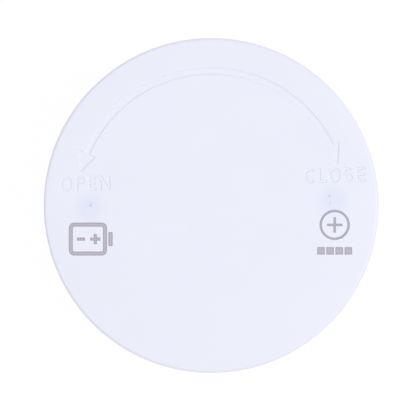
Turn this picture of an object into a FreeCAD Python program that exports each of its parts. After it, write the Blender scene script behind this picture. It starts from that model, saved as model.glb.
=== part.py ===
import FreeCAD
import Part
import math
import os

# Round battery-powered radio beacon, a little under 51 mm across and 17 mm high, in millimetres.
# It lies on its gently crowned front, so +Z points out of the flat back cover, and the origin is
# the middle of the front face. The back cover turns about +Z and then lifts off along +Z. It is
# drawn seated but unlocked: a clockwise turn, seen from the back, carries its two hooks under the
# two catch tabs of the front shell. +Y is the side of the antenna.

# Front shell
body_r = 25.0            # outside radius of the shell and of the cover
side_wall = 1.6          # thickness of the side wall
front_wall = 1.8         # thickness of the front wall
front_flat_r = 12.0      # radius of the flat middle of the front, which the beacon stands on
crown_r = 50.0           # radius of the shallow crown around that flat
edge_round = 6.0         # radius from the crown into the side wall
rim_chamfer = 0.25       # half of the groove that shows between shell and cover
boss_h = 3.0             # height of the board above the inside of the front wall
boss_r = 2.3             # radius of a screw boss
boss_foot = 0.3          # depth of a screw hole below its screw's tip
board_rib_t = 1.2        # thickness of the ribs that carry the edge of the board
board_rib_in = 1.8       # how far those ribs reach in under the board
board_rib_angles = (62.0, 118.0, 242.0, 298.0)
window_r = 2.2           # thinned spot that the light shines through
window_skin = 0.7        # plastic left over that spot
baffle_wall = 0.8        # wall of the tube around the status LED
baffle_gap = 0.3         # from that tube to the board

# Back cover
cover_t = 1.6            # thickness of the cover plate
cover_edge_round = 0.5   # rounded outer edge of the back face
skirt_h = 2.6            # height of the skirt that enters the shell
skirt_wall = 1.9         # wall of the skirt
skirt_clear = 0.15       # radial clearance from skirt to shell
skirt_lead = 0.3         # lead-in chamfer at the foot of the skirt
hold_rib_r = 7.1         # middle radius of the rib that keeps the cell down
hold_rib_t = 1.2         # its thickness
hold_rib_gap = 0.1       # from that rib to the cell

# Quarter-turn lock
turn_deg = 28.0          # turn from unlocked to locked
hook_angles = (0.0, 180.0)
hook_in_r = 16.9         # inside radius of a hook's post
hook_post_t = 1.8        # radial thickness of the post
hook_w = 4.4             # width of a hook
hook_reach = 1.9         # how far the foot stands out from the post
hook_foot_t = 1.5        # thickness of the foot
hook_toe = 0.5           # chamfer under the foot
gusset_t = 1.3           # thickness of the rib behind the post
gusset_in = 1.2          # how far that rib stands in from the post
gusset_h = 2.4           # its height
tab_t = 1.3              # thickness of a catch tab
tab_under_skirt = 0.2    # from the skirt down to the tab
tab_clear = 0.2          # from the tab down to the foot of a locked hook
tab_reach_clear = 0.3    # from the tab's edge to the hook's post
entry_clear = 0.8        # from an unlocked hook to the tab, along the turn
stop_clear = 0.35        # from a locked hook to its stop, along the turn
stop_t = 1.1             # thickness of the stop wall
ramp_len = 1.6           # length of the lead-in under the tab
ramp_h = 0.5             # height of that lead-in
bump_r = 1.0             # radius of the ball that clicks
bump_h = 0.15            # how far it stands up
bump_clear = 0.1         # its clearance in the dimple of the tab

# Seal ring in the skirt's groove
seal_t = 0.9             # radial thickness as squeezed
seal_w = 1.05            # width as squeezed
seal_clear = 0.05        # to the shell and to the bottom of the groove
groove_w = 1.3           # width of the groove
groove_foot = 0.65       # skirt left under the groove

# Circuit board
board_gap = 1.0          # from the shell's inside to the edge of the board
board_t = 1.0
notch_clear = 0.4        # around a stop wall
board_hole_r = 1.1       # clearance hole for a screw
film_t = 0.05            # bare copper and gold that stand on the board

# Board screws
screw_angles = (22.0, 202.0)
screw_inset = 3.9        # from the edge of the board to a screw
screw_r = 1.0
screw_len = 4.0
screw_head_r = 1.9
screw_head_h = 1.3
screw_crown = 0.45       # height of the rounded top of the head
recess_w = 0.45          # width of a slot of the cross recess
recess_span = 2.2        # length of a slot
recess_d = 0.8           # depth of the recess
thread_clear = 0.02      # between a screw and the thread it has cut

# Coin cell, 24.5 mm across and 7.7 mm high
cell_r = 12.25
cell_h = 7.7
can_t = 0.25             # sheet of the can and of the cap
can_round = 0.7          # rounded edge of the can's flat end
crimp_round = 0.6        # rounded edge where the can is crimped
crimp_w = 1.3            # width of the crimped lip
cap_drop = 0.35          # how far the cap stands out of the can
cap_gap = 0.65           # ring of gasket that shows between cap and lip
cap_wall_h = 1.75        # from the cap's face to the top of its flange
cap_flange_clear = 0.3   # gasket between flange and can
gasket_collar = 0.65     # height of the gasket above the flange
anode_clear = 0.15       # from the lithium disc to the cap's wall
anode_t = 2.45
separator_t = 0.25
pellet_clear = 0.1       # from pellet and separator to the can

# Battery holder
holder_floor = 0.6
holder_wall = 1.2
holder_clear = 0.2       # radial clearance around the cell
holder_h = 4.15          # height of the wall above the seat of the can
ledge_w = 1.1            # width of the ledge that the can sits on
latch_half_deg = 9.0     # half of a latch's width
latch_slot_deg = 3.5     # slot beside a latch
latch_root = 1.0         # height of the wall below the slots, above the seat
latch_lip = 0.5          # how far a lip reaches over the cell
latch_lip_t = 0.47
latch_clear = 0.08       # from the lip to the cell
latch_lead = 0.3         # lead-in chamfer on the lip
pry_w = 7.0              # width of the notch for a fingernail
pry_h = 2.4              # height of the wall left in that notch
peg_r = 0.7
peg_clear = 0.05
peg_gap = 0.1            # from a peg to the solder of the leaf's pin
peg_len = 1.3

# Spring contacts
leaf_t = 0.2             # sheet of the negative contact
leaf_w = 5.0
leaf_len = 17.0
leaf_rise = 0.4          # how far its middle bows up to the cell
leaf_bow = 10.0          # length of the bowed part
leaf_round = 6.0         # radius of the bow's bends
clip_t = 0.3             # sheet of the positive contact
clip_w = 5.0
clip_touch = 0.03        # from the clip to the can
clip_back = 1.95         # from the can to the upright of the clip
clip_h = 7.4             # height of the clip above the board
clip_foot = 2.5          # length of its foot on the board
clip_edge = 1.2          # from the end of its foot to the edge of the board
clip_touch_h = 4.6       # height of the touching bend above the board
clip_tail = 2.3          # length of the free tail below that bend
clip_flare = 0.7         # how far the tail's end stands off
clip_round = 0.55        # bend radius on the middle of the sheet
clip_gap = 0.35          # from the clip to the holder's wall
pin_w = 1.0
pin_hole_r = 0.65
pin_out = 0.6            # how far a pin stands out below the board
solder_r = 1.0
solder_tip_r = 0.72
solder_h = 0.45

# Push switch
switch_y = 0.8           # it sits midway between the holder and the edge of the board
switch_side = 5.2
switch_base_h = 1.1
pocket_r = 1.9           # well for the snap dome
dome_r = 1.75
dome_t = 0.1
plunger_r = 1.2
plunger_flange_r = 1.6
plunger_flange_t = 0.2
plunger_flange_gap = 0.025   # from that flange up to the frame
plunger_foot_h = 0.155   # height of the foot under the flange
plunger_out = 0.45       # how far it stands out of the frame
plunger_clear = 0.1
plunger_rest = 0.02      # from its foot to the dome
press_travel = 0.25
dome_left = 0.05         # arch that the dome keeps when it is pressed
frame_t = 0.2
frame_inset = 0.1        # from the edge of the base to the frame
frame_tab_w = 1.6        # folded tabs that hold the frame down
frame_tab_h = 0.7
terminal_w = 0.7
terminal_t = 0.15
terminal_out = 0.8
terminal_pitch = 3.0

# Radio chip, with the parts around it placed from its middle: X along the board's edge, Y outwards
chip_angle = 50.0        # where it lies around the board
chip_inset = 4.6         # from the edge of the board to its middle
chip_side = 5.0
chip_h = 0.85
chip_stand = 0.05        # solder under the chip
chip_film_share = 0.7    # side of that solder's field, as a share of the chip's
joint_count = 8          # on each side
joint_pitch = 0.5
joint_w = 0.25
joint_out = 0.3
joint_h = 0.12
radio_crystal_size = (1.6, 2.0, 0.7)
radio_crystal_at = (-4.1, 0.5)
clock_crystal_size = (1.2, 2.0, 0.7)
clock_crystal_at = (4.0, -0.4)
lid_inset = 0.15         # from a crystal's base to its metal lid
crystal_base_h = 0.35
chip_part_size = (1.0, 0.5, 0.5)
chip_part_end = 0.22     # length of a tinned end
end_skin = 0.03          # how much a tinned end stands proud of the body
capacitor_places = (
    (-4.1, -1.2, 0.0), (-4.1, 2.2, 0.0), (4.0, 1.3, 0.0), (4.0, -2.2, 0.0),
    (4.0, 2.2, 0.0), (1.6, 3.35, 0.0), (0.1, 3.35, 0.0), (-4.1, -2.2, 0.0))
inductor_places = ((-1.6, 3.35, 0.0), (-3.1, 3.35, 0.0))
resistor_places = ((3.1, 3.35, 0.0), (4.6, 3.35, 0.0), (-5.6, 0.6, 90.0))

# Reservoir capacitor and test pads
reservoir_angle = 122.0
reservoir_inset = 4.2
reservoir_size = (3.2, 2.5, 1.9)
reservoir_end = 0.5
pad_side = 1.2
pad_pitch = 2.2
pad_count = 5

# Antenna, a folded copper track
trace_w = 0.5
trace_gap = 0.6
antenna_edge = 1.2       # from the edge of the board to its upper side
antenna_h = 4.1
antenna_left = -6.05
feed_at = 2              # the feed is this many track pitches from the grounded end
fold_first = 3           # and the folds start here
fold_last = 10
fold_in = 0.7            # folds end this far above the lower edge

# Status LED on the front side of the board
led_size = (3.2, 1.6, 0.35)
led_end = 0.5
lens_r = 0.7
lens_h = 0.45

# Heights and radii that follow from the sizes above
inner_r = body_r - side_wall
inner_round = edge_round - side_wall
board_r = inner_r - board_gap
screw_at_r = board_r - screw_inset
antenna_y = board_r - antenna_edge - antenna_h
cell_y = -(board_r - clip_edge - clip_foot - clip_back - cell_r)
board_z = front_wall + boss_h
board_top = board_z + board_t
seat_z = board_top + holder_floor + leaf_t + leaf_rise
can_z = seat_z + cap_drop
cell_top = seat_z + cell_h
cover_z = cell_top + latch_clear + latch_lip_t + 0.15
back_z = cover_z + cover_t
skirt_r = inner_r - skirt_clear
skirt_z = cover_z - skirt_h
tab_top = skirt_z - tab_under_skirt
tab_z = tab_top - tab_t
foot_top = tab_z - tab_clear
foot_z = foot_top - hook_foot_t
post_r = hook_in_r + hook_post_t
tab_in_r = post_r + tab_reach_clear
foot_r = post_r + hook_reach
holder_in_r = cell_r + holder_clear
holder_r = holder_in_r + holder_wall
beside_holder = (holder_r + board_r) / 2
can_in_r = cell_r - can_t
cap_r = cell_r - crimp_w - cap_gap
cell_axis = FreeCAD.Vector(0, cell_y, 0)


def angle_of(arc_length, radius):
    """The angle in degrees that an arc of that length takes at that radius."""
    return math.degrees(arc_length / radius)


def polar(radius, degrees):
    return radius * math.cos(math.radians(degrees)), radius * math.sin(math.radians(degrees))


hook_half = angle_of(hook_w / 2, hook_in_r + hook_post_t / 2)
tab_start = -(hook_half + angle_of(entry_clear, foot_r))
stop_start = -(turn_deg + hook_half + angle_of(stop_clear, foot_r))
tab_end = stop_start - angle_of(stop_t, foot_r)


def block(size, at, z):
    """A box centred on a point of the plan, with its underside at z."""
    corner = FreeCAD.Vector(at[0] - size[0] / 2, at[1] - size[1] / 2, z)
    return Part.makeBox(size[0], size[1], size[2], corner)


def rod(radius, z0, z1, at=(0.0, 0.0)):
    return Part.makeCylinder(radius, z1 - z0, FreeCAD.Vector(at[0], at[1], z0))


def revolved(edges, degrees=360.0, start=0.0):
    """Turns a closed profile, drawn with X as radius and Z as height, about the Z axis."""
    face = Part.Face(Part.Wire(Part.sortEdges(edges)[0]))
    origin = FreeCAD.Vector(0, 0, 0)
    up = FreeCAD.Vector(0, 0, 1)
    face.rotate(origin, up, start)
    return face.revolve(origin, up, degrees)


def profile(*points):
    """The closed chain of straight edges through (radius, height) points."""
    corners = [FreeCAD.Vector(r, 0, z) for r, z in points]
    return Part.makePolygon(corners + corners[:1]).Edges


def line(start, end):
    return Part.LineSegment(FreeCAD.Vector(start[0], 0, start[1]),
                            FreeCAD.Vector(end[0], 0, end[1])).toShape()


def arc(centre, radius, start, end):
    """An arc in the profile plane, with angles in degrees from +X towards +Z."""
    ends = []
    for degrees in (start, (start + end) / 2, end):
        x, z = polar(radius, degrees)
        ends.append(FreeCAD.Vector(centre[0] + x, 0, centre[1] + z))
    return Part.Arc(*ends).toShape()


def facets(centre, radius, start, end, steps=2):
    """The (radius, height) corners of a rounded corner that is cut as a few straight facets."""
    corners = []
    for index in range(steps + 1):
        x, z = polar(radius, start + (end - start) * index / steps)
        corners.append((centre[0] + x, centre[1] + z))
    return corners


def tube(r_out, r_in, z0, z1):
    return revolved(profile((r_in, z0), (r_out, z0), (r_out, z1), (r_in, z1)))


def sector(r_in, r_out, start, end, z0, z1):
    """Part of a ring between two angles."""
    edges = profile((r_in, z0), (r_out, z0), (r_out, z1), (r_in, z1))
    return revolved(edges, end - start, start)


def joined(solids):
    """One solid from several that touch or overlap."""
    whole = solids[0].multiFuse(solids[1:]) if len(solids) > 1 else solids[0]
    return whole.removeSplitter()


def turned(shape, degrees):
    copy = shape.copy()
    copy.rotate(FreeCAD.Vector(0, 0, 0), FreeCAD.Vector(0, 0, 1), degrees)
    return copy


def moved(shape, offset):
    copy = shape.copy()
    copy.translate(offset)
    return copy


def bent_strip(points, radius, width, thickness):
    """A strip of sheet metal whose middle runs through points of the XZ plane, with round bends."""
    corners = [FreeCAD.Vector(x, 0, z) for x, z in points]
    edges = []
    start = corners[0]
    for before, corner, after in zip(corners, corners[1:], corners[2:]):
        back = (before - corner).normalize()
        ahead = (after - corner).normalize()
        half_turn = (math.pi - back.getAngle(ahead)) / 2
        cut = radius * math.tan(half_turn)
        enter = corner + back * cut
        leave = corner + ahead * cut
        middle = corner + (back + ahead).normalize() * (radius / math.cos(half_turn) - radius)
        edges.append(Part.LineSegment(start, enter).toShape())
        edges.append(Part.Arc(enter, middle, leave).toShape())
        start = leave
    edges.append(Part.LineSegment(start, corners[-1]).toShape())
    path = Part.Wire(edges)
    across = FreeCAD.Vector(0, width / 2, 0)
    normal = (corners[1] - corners[0]).normalize().cross(FreeCAD.Vector(0, 1, 0)) * (thickness / 2)
    ring = [corners[0] + across + normal, corners[0] - across + normal,
            corners[0] - across - normal, corners[0] + across - normal]
    section = Part.makePolygon(ring + ring[:1])
    return path.makePipeShell([section], True, False)


def shell_blank():
    """The outside form: flat, crown, rounded edge and straight side, solid up to the rim."""
    edge_x = body_r - edge_round
    edge_z = crown_r - math.sqrt((crown_r - edge_round) ** 2 - (edge_x - front_flat_r) ** 2)
    meet = math.degrees(math.atan2(edge_z - crown_r, edge_x - front_flat_r))
    return revolved([
        line((0, 0), (front_flat_r, 0)),
        arc((front_flat_r, crown_r), crown_r, -90.0, meet),
        arc((edge_x, edge_z), edge_round, meet, 0.0),
        line((body_r, edge_z), (body_r, cover_z - rim_chamfer)),
        line((body_r, cover_z - rim_chamfer), (body_r - rim_chamfer, cover_z)),
        line((body_r - rim_chamfer, cover_z), (0, cover_z)),
        line((0, cover_z), (0, 0))])


def shell_cavity():
    corner = (inner_r - inner_round, front_wall + inner_round)
    return revolved(profile(
        (0, front_wall), *facets(corner, inner_round, -90.0, 0.0, 3),
        (inner_r, cover_z), (0, cover_z)))


def screw_places():
    return [polar(screw_at_r, degrees) for degrees in screw_angles]


def catch(base):
    """One catch: a tab on the side wall with a lead-in, ended by the wall that stops the hook."""
    tab = sector(tab_in_r, body_r, base + tab_end, base + tab_start, tab_z, tab_top)
    stop = sector(tab_in_r, body_r, base + tab_end, base + stop_start, front_wall, tab_top)
    lead_in = Part.makePolygon([
        FreeCAD.Vector(0, 0, tab_z),
        FreeCAD.Vector(0, -ramp_len, tab_z),
        FreeCAD.Vector(0, 0, tab_z + ramp_h),
        FreeCAD.Vector(0, 0, tab_z)])
    wedge = Part.Face(lead_in).extrude(FreeCAD.Vector(body_r, 0, 0))
    x, y = polar(foot_r - hook_reach / 2 + tab_reach_clear / 2, base - turn_deg)
    ball_z = foot_top + bump_h - bump_r
    dimple = Part.makeSphere(bump_r + bump_clear, FreeCAD.Vector(x, y, ball_z))
    return joined([tab, stop]).cut([turned(wedge, base + tab_start), dimple])


def front_shell():
    blank = shell_blank()
    inside = [rod(boss_r, front_wall, board_z, at) for at in screw_places()]
    half = angle_of(board_rib_t / 2, board_r)
    for degrees in board_rib_angles:
        inside.append(sector(board_r - board_rib_in, body_r, degrees - half, degrees + half,
                             front_wall, board_z))
    inside.append(tube(window_r + baffle_wall, window_r, front_wall, board_z - baffle_gap))
    inside += [catch(base) for base in hook_angles]
    shell = blank.cut(shell_cavity())
    shell = joined([shell] + [piece.common(blank) for piece in inside])
    hole_z = board_top - screw_len - boss_foot
    holes = [rod(screw_r, hole_z, board_z, at) for at in screw_places()]
    return shell.cut(holes + [rod(window_r, window_skin, front_wall)])


def hook(base):
    """One hook: a post, a foot that faces outwards with a click bump, and a rib behind it."""
    root = cover_z + cover_t / 2
    edges = profile(
        (hook_in_r, root), (hook_in_r, foot_z), (foot_r - hook_toe, foot_z),
        (foot_r, foot_z + hook_toe), (foot_r, foot_top), (post_r, foot_top), (post_r, root))
    post = revolved(edges, 2 * hook_half, base - hook_half)
    behind = profile(
        (hook_in_r, root), (hook_in_r - gusset_in, root), (hook_in_r - gusset_in, cover_z),
        (hook_in_r, cover_z - gusset_h), (post_r, cover_z - gusset_h), (post_r, root))
    rib_half = angle_of(gusset_t / 2, hook_in_r)
    rib = revolved(behind, 2 * rib_half, base - rib_half)
    x, y = polar(foot_r - hook_reach / 2 + tab_reach_clear / 2, base)
    ball = Part.makeSphere(bump_r, FreeCAD.Vector(x, y, foot_top + bump_h - bump_r))
    under = sector(post_r, foot_r, base - hook_half, base + hook_half, foot_z, back_z)
    return joined([post, rib, ball.common(under)])


def back_cover():
    groove_r = inner_r - 2 * seal_clear - seal_t
    groove_z = skirt_z + groove_foot
    edge = cover_edge_round
    plate = revolved([
        line((0, cover_z), (skirt_r - skirt_wall, cover_z)),
        line((skirt_r - skirt_wall, cover_z), (skirt_r - skirt_wall, skirt_z)),
        line((skirt_r - skirt_wall, skirt_z), (skirt_r - skirt_lead, skirt_z)),
        line((skirt_r - skirt_lead, skirt_z), (skirt_r, skirt_z + skirt_lead)),
        line((skirt_r, skirt_z + skirt_lead), (skirt_r, groove_z)),
        line((skirt_r, groove_z), (groove_r, groove_z)),
        line((groove_r, groove_z), (groove_r, groove_z + groove_w)),
        line((groove_r, groove_z + groove_w), (skirt_r, groove_z + groove_w)),
        line((skirt_r, groove_z + groove_w), (skirt_r, cover_z)),
        line((skirt_r, cover_z), (body_r - rim_chamfer, cover_z)),
        line((body_r - rim_chamfer, cover_z), (body_r, cover_z + rim_chamfer)),
        line((body_r, cover_z + rim_chamfer), (body_r, back_z - edge)),
        arc((body_r - edge, back_z - edge), edge, 0.0, 90.0),
        line((body_r - edge, back_z), (0, back_z)),
        line((0, back_z), (0, cover_z))])
    hold_rib = tube(hold_rib_r + hold_rib_t / 2, hold_rib_r - hold_rib_t / 2,
                    cell_top + hold_rib_gap, cover_z + cover_t / 2)
    return joined([plate, hold_rib] + [hook(base) for base in hook_angles])


def seal_ring():
    """A round cord squeezed between groove and shell: flat bands inside and out, faceted sides."""
    middle_r = inner_r - seal_clear - seal_t / 2
    middle_z = skirt_z + groove_foot + groove_w / 2
    half = (seal_w - seal_t) / 2
    return revolved(profile(
        *facets((middle_r, middle_z + half), seal_t / 2, 0.0, 180.0, 3),
        *facets((middle_r, middle_z - half), seal_t / 2, 180.0, 360.0, 3)))


def clip_places():
    """The two pins of the positive contact, at the ends of its foot."""
    y = cell_y - cell_r - clip_back - clip_foot * 0.6
    return [(-clip_w / 2 + pin_w / 2, y), (clip_w / 2 - pin_w / 2, y)]


def leaf_place():
    """The pin of the negative contact, at one end of its leaf."""
    return (leaf_len / 2 - leaf_t / 2, cell_y)


def pin_places():
    return clip_places() + [leaf_place()]


def peg_places():
    """The holder's two pegs, on either side of its middle and just clear of the leaf's pin."""
    x = leaf_place()[0] + solder_r + peg_gap + peg_r
    return [(-x, cell_y), (x, cell_y)]


def circuit_board():
    board = rod(board_r, board_z, board_top)
    holes = [rod(board_hole_r, board_z, board_top, at) for at in screw_places()]
    holes += [rod(peg_r + peg_clear, board_z, board_top, at) for at in peg_places()]
    holes += [rod(pin_hole_r, board_z, board_top, at) for at in pin_places()]
    spare = angle_of(notch_clear, tab_in_r)
    for base in hook_angles:
        holes.append(sector(tab_in_r - notch_clear, body_r, base + tab_end - spare,
                            base + stop_start + spare, board_z, board_top))
    return board.cut(holes)


def screw(at):
    head = revolved([
        line((0, board_top), (screw_head_r, board_top)),
        line((screw_head_r, board_top), (screw_head_r, board_top + screw_head_h - screw_crown)),
        line((screw_head_r, board_top + screw_head_h - screw_crown),
             (screw_head_r - screw_crown, board_top + screw_head_h)),
        line((screw_head_r - screw_crown, board_top + screw_head_h), (0, board_top + screw_head_h)),
        line((0, board_top + screw_head_h), (0, board_top))])
    shank = rod(screw_r - thread_clear, board_top - screw_len, board_top)
    top = board_top + screw_head_h - recess_d
    slots = [block((recess_span, recess_w, recess_d), (0, 0), top),
             block((recess_w, recess_span, recess_d), (0, 0), top)]
    return moved(joined([head, shank]).cut(slots), FreeCAD.Vector(at[0], at[1], 0))


def board_screws():
    return Part.makeCompound([screw(at) for at in screw_places()])


def cell_can():
    """A deep-drawn can: flat end up, its mouth crimped in over the gasket below."""
    top = (cell_r - can_round, cell_top - can_round)
    mouth = (cell_r - crimp_round, can_z + crimp_round)
    lip_r = cell_r - crimp_w
    inside = [
        *facets(mouth, crimp_round - can_t, -90.0, 0.0, 1),
        *facets(top, can_round - can_t, 0.0, 90.0, 1)]
    outline = [(0, cell_top - can_t), (0, cell_top), (top[0], cell_top)]
    below = [
        (cell_r, top[1]), *facets(mouth, crimp_round, 0.0, -90.0), (lip_r, can_z),
        (lip_r, can_z + can_t), *inside, (0, cell_top - can_t)]
    edges = [line(a, b) for a, b in zip(outline, outline[1:])]
    edges.append(arc(top, can_round, 90.0, 0.0))
    edges += [line(a, b) for a, b in zip(below, below[1:])]
    return moved(revolved(edges), cell_axis)


flange_r = can_in_r - cap_flange_clear
flange_z = seat_z + cap_wall_h - can_t
collar_z = flange_z + can_t + gasket_collar
anode_top = seat_z + can_t + anode_t


def cell_cap():
    return moved(revolved(profile(
        (0, seat_z), (cap_r, seat_z), (cap_r, flange_z), (flange_r, flange_z),
        (flange_r, flange_z + can_t), (cap_r - can_t, flange_z + can_t),
        (cap_r - can_t, seat_z + can_t), (0, seat_z + can_t))), cell_axis)


def cell_gasket():
    lip_r = cell_r - crimp_w
    corner = crimp_round - can_t
    return moved(revolved(profile(
        (cap_r, can_z), (lip_r, can_z), (lip_r, can_z + can_t),
        (can_in_r - corner, can_z + can_t), (can_in_r, can_z + can_t + corner),
        (can_in_r, collar_z), (flange_r, collar_z), (flange_r, flange_z), (cap_r, flange_z))),
        cell_axis)


def cell_anode():
    radius = cap_r - can_t - anode_clear
    return rod(radius, seat_z + can_t, anode_top, (0, cell_y))


def cell_separator():
    radius = can_in_r - pellet_clear
    return rod(radius, anode_top, anode_top + separator_t, (0, cell_y))


def cell_cathode():
    radius = can_in_r - pellet_clear
    corner = can_round - can_t
    z0 = anode_top + separator_t
    z1 = cell_top - can_t
    return moved(revolved(profile(
        (0, z0), (radius, z0), (radius, z1 - corner), (radius - corner, z1), (0, z1))), cell_axis)


def latch(base):
    """A springy finger of the holder's wall, with a lip over the edge of the cell."""
    lip_z = cell_top + latch_clear
    tip = lip_z + latch_lip_t
    lip_r = cell_r - latch_lip
    wall_top = can_z + holder_h
    edges = profile(
        (holder_in_r, can_z + latch_root), (holder_r, can_z + latch_root),
        (holder_r, tip - latch_lead), (holder_r - latch_lead, tip),
        (holder_in_r, tip), (lip_r, tip - latch_lead), (lip_r, lip_z), (holder_in_r, lip_z),
        (holder_in_r, wall_top))
    return revolved(edges, 2 * latch_half_deg, base - latch_half_deg)


def battery_holder():
    floor_top = board_top + holder_floor
    wall_top = can_z + holder_h
    floor = revolved(profile((0, board_top), (holder_r, board_top), (holder_r, floor_top),
                             (0, floor_top)))
    ledge = tube(holder_r, holder_in_r - ledge_w, board_top, can_z)
    wall = tube(holder_r, holder_in_r, board_top, wall_top)
    cuts = []
    reach = latch_half_deg + latch_slot_deg
    for base in (0.0, 180.0):
        cuts.append(sector(holder_in_r - 1.0, holder_r + 1.0, base - reach, base + reach,
                           can_z + latch_root, wall_top))
    clip_side = clip_w + 2 * clip_gap
    cuts.append(Part.makeBox(clip_side, holder_r, wall_top,
                             FreeCAD.Vector(-clip_side / 2, -holder_r - cell_r / 2, floor_top)))
    cuts.append(Part.makeBox(pry_w, holder_r, wall_top,
                             FreeCAD.Vector(-pry_w / 2, holder_in_r - ledge_w, can_z + pry_h)))
    ring = joined([floor, ledge, wall]).cut(cuts)
    pegs = [rod(peg_r, board_top - peg_len, board_top + holder_floor / 2, (x, 0))
            for x, y in peg_places()]
    whole = joined([ring] + [latch(base) for base in (0.0, 180.0)] + pegs)
    pin = leaf_place()[0]
    return moved(whole.cut(rod(pin_hole_r, board_top, floor_top, (pin, 0))), cell_axis)


def negative_contact():
    """A bowed leaf on the holder's floor, with one pin down through the board."""
    low = board_top + holder_floor + leaf_t / 2
    high = low + leaf_rise
    end = leaf_len / 2
    shoulder = leaf_bow / 2
    crest = leaf_bow / 6
    path = [(-end, low), (-shoulder, low), (-crest, high), (crest, high), (shoulder, low),
            (end, low)]
    leaf = bent_strip(path, leaf_round, leaf_w, leaf_t)
    pin_z = board_z - pin_out
    pin = block((leaf_t, pin_w, low - pin_z), (end - leaf_t / 2, 0), pin_z)
    return moved(joined([leaf, pin]), cell_axis)


def positive_contact():
    """A spring clip soldered to the board beside the holder, pressing on the side of the can."""
    touch = cell_r + clip_touch + clip_t / 2
    back = cell_r + clip_back
    low = board_top + clip_t / 2
    high = board_top + clip_h - clip_t / 2
    bend = board_top + clip_touch_h
    path = [(back + clip_foot, low), (back, low), (back, high), (touch + clip_t, high),
            (touch, bend), (touch + clip_flare, bend - clip_tail)]
    clip = bent_strip(path, clip_round, clip_w, clip_t)
    clip.rotate(FreeCAD.Vector(0, 0, 0), FreeCAD.Vector(0, 0, 1), -90.0)
    clip.translate(cell_axis)
    pin_z = board_z - pin_out
    pins = [block((pin_w, clip_t, low - pin_z), at, pin_z) for at in clip_places()]
    return joined([clip] + pins)


def solder_joints():
    """The cones of solder on the front side of the board, one around each pin."""
    cones = []
    for x, y in pin_places():
        foot = FreeCAD.Vector(x, y, board_z)
        down = FreeCAD.Vector(0, 0, -1)
        cone = Part.makeCone(solder_r, solder_tip_r, solder_h, foot, down)
        pin = block((pin_w, clip_t, solder_h), (x, y), board_z - solder_h)
        if (x, y) == leaf_place():
            pin = block((leaf_t, pin_w, solder_h), (x, y), board_z - solder_h)
        cones.append(cone.cut(pin))
    return Part.makeCompound(cones)


def at_switch(shape):
    return moved(turned(shape, 90.0), FreeCAD.Vector(-beside_holder, switch_y, 0))


def on_board(shape, inset, degrees):
    """Puts a part drawn at the origin, with its outer side at +Y, beside the edge of the board."""
    x, y = polar(board_r - inset, degrees)
    return moved(turned(shape, degrees - 90.0), FreeCAD.Vector(x, y, 0))


def by_chip(shape):
    return on_board(shape, chip_inset, chip_angle)


frame_z = board_top + switch_base_h
flange_top = frame_z - plunger_flange_gap
foot_bottom = flange_top - plunger_flange_t - plunger_foot_h
dome_rise = press_travel + dome_left
dome_z = foot_bottom - plunger_rest - dome_t - dome_rise


def switch_base():
    base = block((switch_side, switch_side, switch_base_h), (0, 0), board_top)
    base = base.cut(rod(pocket_r, dome_z, frame_z))
    for side in (-1, 1):
        at = (0, side * (switch_side - frame_inset) / 2)
        base = base.cut(block((frame_tab_w, frame_inset, frame_tab_h), at, frame_z - frame_tab_h))
    return at_switch(base)


def dome_profile(thickness):
    """Half of the arched section of the snap dome."""
    radius = (dome_r ** 2 + dome_rise ** 2) / (2 * dome_rise)
    half = math.degrees(math.asin(dome_r / radius))
    centre = (0, dome_z + dome_rise - radius)
    outer = radius + thickness
    rim = polar(radius, 90.0 - half)
    rim_out = polar(outer, 90.0 - half)
    return [
        arc(centre, radius, 90.0 - half, 90.0),
        line((0, dome_z + dome_rise), (0, dome_z + dome_rise + thickness)),
        arc(centre, outer, 90.0, 90.0 - half),
        line((rim_out[0], centre[1] + rim_out[1]), (rim[0], centre[1] + rim[1]))]


def switch_dome():
    return at_switch(revolved(dome_profile(dome_t)))


def switch_plunger():
    flange_z = flange_top - plunger_flange_t
    top = frame_z + frame_t + plunger_out
    lead = plunger_clear
    return at_switch(revolved(profile(
        (0, foot_bottom), (plunger_r / 2, foot_bottom), (plunger_r / 2, flange_z),
        (plunger_flange_r, flange_z), (plunger_flange_r, flange_top), (plunger_r, flange_top),
        (plunger_r, top - lead), (plunger_r - lead, top), (0, top))))


def switch_frame():
    side = switch_side - 2 * frame_inset
    plate = block((side, switch_side, frame_t), (0, 0), frame_z)
    plate = plate.cut(rod(plunger_r + plunger_clear, frame_z, frame_z + frame_t))
    tabs = [block((frame_tab_w, frame_inset, frame_tab_h),
                  (0, side_of * (switch_side - frame_inset) / 2), frame_z - frame_tab_h)
            for side_of in (-1, 1)]
    return at_switch(joined([plate] + tabs))


def switch_terminals():
    """Four flat legs that leave the base low on its two sides and lie on the board."""
    legs = []
    for side in (-1, 1):
        for row in (-1, 1):
            at = (side * (switch_side + terminal_out) / 2, row * terminal_pitch / 2)
            legs.append(block((terminal_out, terminal_w, terminal_t), at, board_top))
    return at_switch(Part.makeCompound(legs))


def radio_chip():
    return by_chip(block((chip_side, chip_side, chip_h), (0, 0), board_top + chip_stand))


def radio_chip_joints():
    """Solder along the four sides of the chip, and the film under it."""
    field = chip_side * chip_film_share
    joints = [block((field, field, chip_stand), (0, 0), board_top)]
    for quarter in range(4):
        for index in range(joint_count):
            along = (index - (joint_count - 1) / 2) * joint_pitch
            piece = block((joint_w, joint_out, joint_h),
                          (along, chip_side / 2 + joint_out / 2), board_top)
            joints.append(turned(piece, 90.0 * quarter))
    return by_chip(Part.makeCompound(joints))


def crystal_base(size, at):
    return by_chip(block((size[0], size[1], crystal_base_h), at, board_top))


def crystal_lid(size, at):
    """The seam-welded metal lid on a crystal's ceramic tray."""
    lid = (size[0] - 2 * lid_inset, size[1] - 2 * lid_inset, size[2] - crystal_base_h)
    return by_chip(block(lid, at, board_top + crystal_base_h))


def radio_crystal():
    return crystal_base(radio_crystal_size, radio_crystal_at)


def clock_crystal():
    return crystal_base(clock_crystal_size, clock_crystal_at)


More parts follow.
